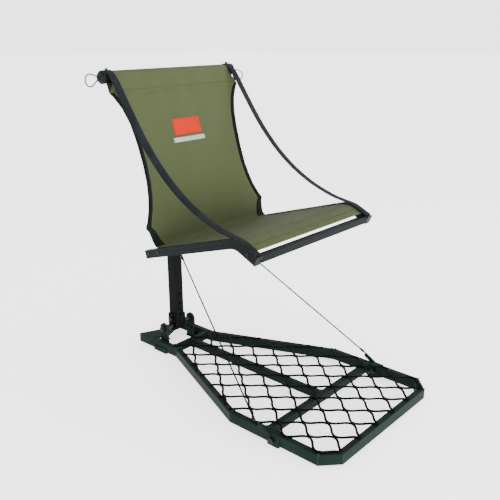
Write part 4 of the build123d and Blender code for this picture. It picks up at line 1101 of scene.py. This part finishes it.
def strap_skin(line, along, share, sign):
    """Points of the strap's outer and inner faces, row by row, and each one's metres across and along."""
    down = np.gradient(line, axis=0)
    down /= np.linalg.norm(down, axis=1)[:, None]
    outer, inner, uv = [], [], []
    for i, (y, z) in enumerate(line):
        x = sign * (STRAP_X_TOP + (STRAP_X_END - STRAP_X_TOP) * share[i])
        turned = math.sin(math.pi * min(1.0, share[i] * 1.05)) ** 0.7 if share[i] < 0.95 else 0.0
        twist = STRAP_TWIST * turned
        normal = np.array((0, -down[i][1], down[i][0]))
        normal = -normal if normal @ np.array((0, -0.3, 1)) < 0 and share[i] > 0 else normal
        outward = np.array((0, y - BAR.y, z - BAR.z)) if share[i] <= 0 else normal
        normal = outward / np.linalg.norm(outward)
        tangent = np.array((0, down[i][0], down[i][1]))
        width = np.array((sign, 0, 0)) * math.cos(twist) - normal * math.sin(twist)
        face = np.cross(width, tangent) * sign
        face = face if face @ normal > 0 else -face
        for c in np.arange(STRAP_COLUMNS) / (STRAP_COLUMNS - 1) * 2 - 1:
            thick = STRAP_T / 2 * (1 - 0.45 * (abs(c) > 0.99))
            crown = 0.0004 * math.cos(math.pi * c) * math.sin(math.pi * share[i])
            p = np.array((x, y, z)) + width * c * STRAP_W / 2 + face * crown
            outer.append(p + face * thick)
            inner.append(p - face * thick)
            uv.append((c * STRAP_W / 2, along[i]))
    return outer, inner, uv


def strap_seam(outer, inner, first, last):
    """The sides and the cross of a sewn box, on the strap's outer face between two rows."""
    made = []
    for c0, c1 in SEAM_BOX:
        points = []
        for i in range(first, last + 1):
            t = (i - first) / (last - first)
            k = (c0 + (c1 - c0) * t + 1) / 2 * (STRAP_COLUMNS - 1)
            j = min(int(k), STRAP_COLUMNS - 2)
            at = i * STRAP_COLUMNS + j
            out = (outer[at] - inner[at]) / np.linalg.norm(outer[at] - inner[at])
            points.append(outer[at] + (outer[at + 1] - outer[at]) * (k - j) + out * 0.0002)
        made.append(points)
    return made


def make_straps():
    line, along = strap_line()
    rows = len(line)
    wrap_length = (BAR_R + STRAP_T / 2) * (WRAP_TO - WRAP_FROM)
    share = np.clip((along - wrap_length) / (along[-1] - wrap_length), 0, 1)
    below_bar = int(wrap_length / STRAP_STEP) + 6
    boxes = [(below_bar, below_bar + SEAM_ROWS), (rows - 3 - SEAM_ROWS, rows - 3)]
    for side, sign in SIDES.items():
        outer, inner, uv = strap_skin(line, along, share, sign)
        faces = shell_faces(rows, STRAP_COLUMNS)
        strap = mesh_from("arm_strap_" + side, outer + inner, faces, STRAP_WEB, uv + uv)
        fix_normals(strap)
        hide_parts("strap_" + side)
        follow_fold_strap(strap)
        seams = [seam for box in boxes for seam in strap_seam(outer, inner, *box)]
        for i in (row for box in boxes for row in box):
            seams.append([outer[i * STRAP_COLUMNS + j] for j in range(1, STRAP_COLUMNS - 1)])
        follow_fold_strap(stitches("strap_stitches_" + side, seams, THREAD_BLACK))


def follow_fold_strap(piece):
    RAIL_FRONT[0]
    RAIL_FRONT[1]
    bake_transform(piece)


# ---------------------------------------------------------------- finishes of the CAD nodes
NODE_FINISH = {
    "mast": MAST_COAT, "seat_bracket": MAST_COAT, "hinge_bar": MAST_COAT, "top_saddle": MAST_COAT,
    "top_bar": MAST_COAT, "upper_vee": MAST_COAT, "strap_lugs": MAST_COAT, "seat_stops": MAST_COAT,
    "cable_lugs": MAST_COAT, "seat_rail": RAIL_COAT, "front_bar": RAIL_COAT, "rear_bar": RAIL_COAT,
    "hinge_lugs": RAIL_COAT, "rail_caps": CAP_PLASTIC, "bar_caps": CAP_PLASTIC, "rail_rivets": BOLT_BLACK,
    "pivot_bolt": BOLT_BLACK, "pivot_nut": BOLT_BLACK, "pivot_bushes": BOLT_BLACK, "lock_pin": BOLT_BLACK,
    "mast_bolts": BOLT_BLACK, "mast_nuts": BOLT_BLACK, "clamp_bolts": BOLT_BLACK, "clamp_nuts": BOLT_BLACK,
    "strap_screws": BOLT_BLACK, "upper_ferrules": BOLT_BLACK, "lower_ferrules": BOLT_BLACK,
}


def paint_frame():
    for name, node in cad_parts.items():
        if node.hide_render:
            continue
        exact = NODE_FINISH.get(name)
        finish = exact or next((f for key, f in NODE_FINISH.items() if name.startswith(key)), FRAME_COAT)
        node.data.materials.clear()
        node.data.materials.append(finish)


make_camera()
make_studio()
make_cables()
make_wire_loops()
make_deck()
make_welds()
make_sling()
make_straps()
paint_frame()
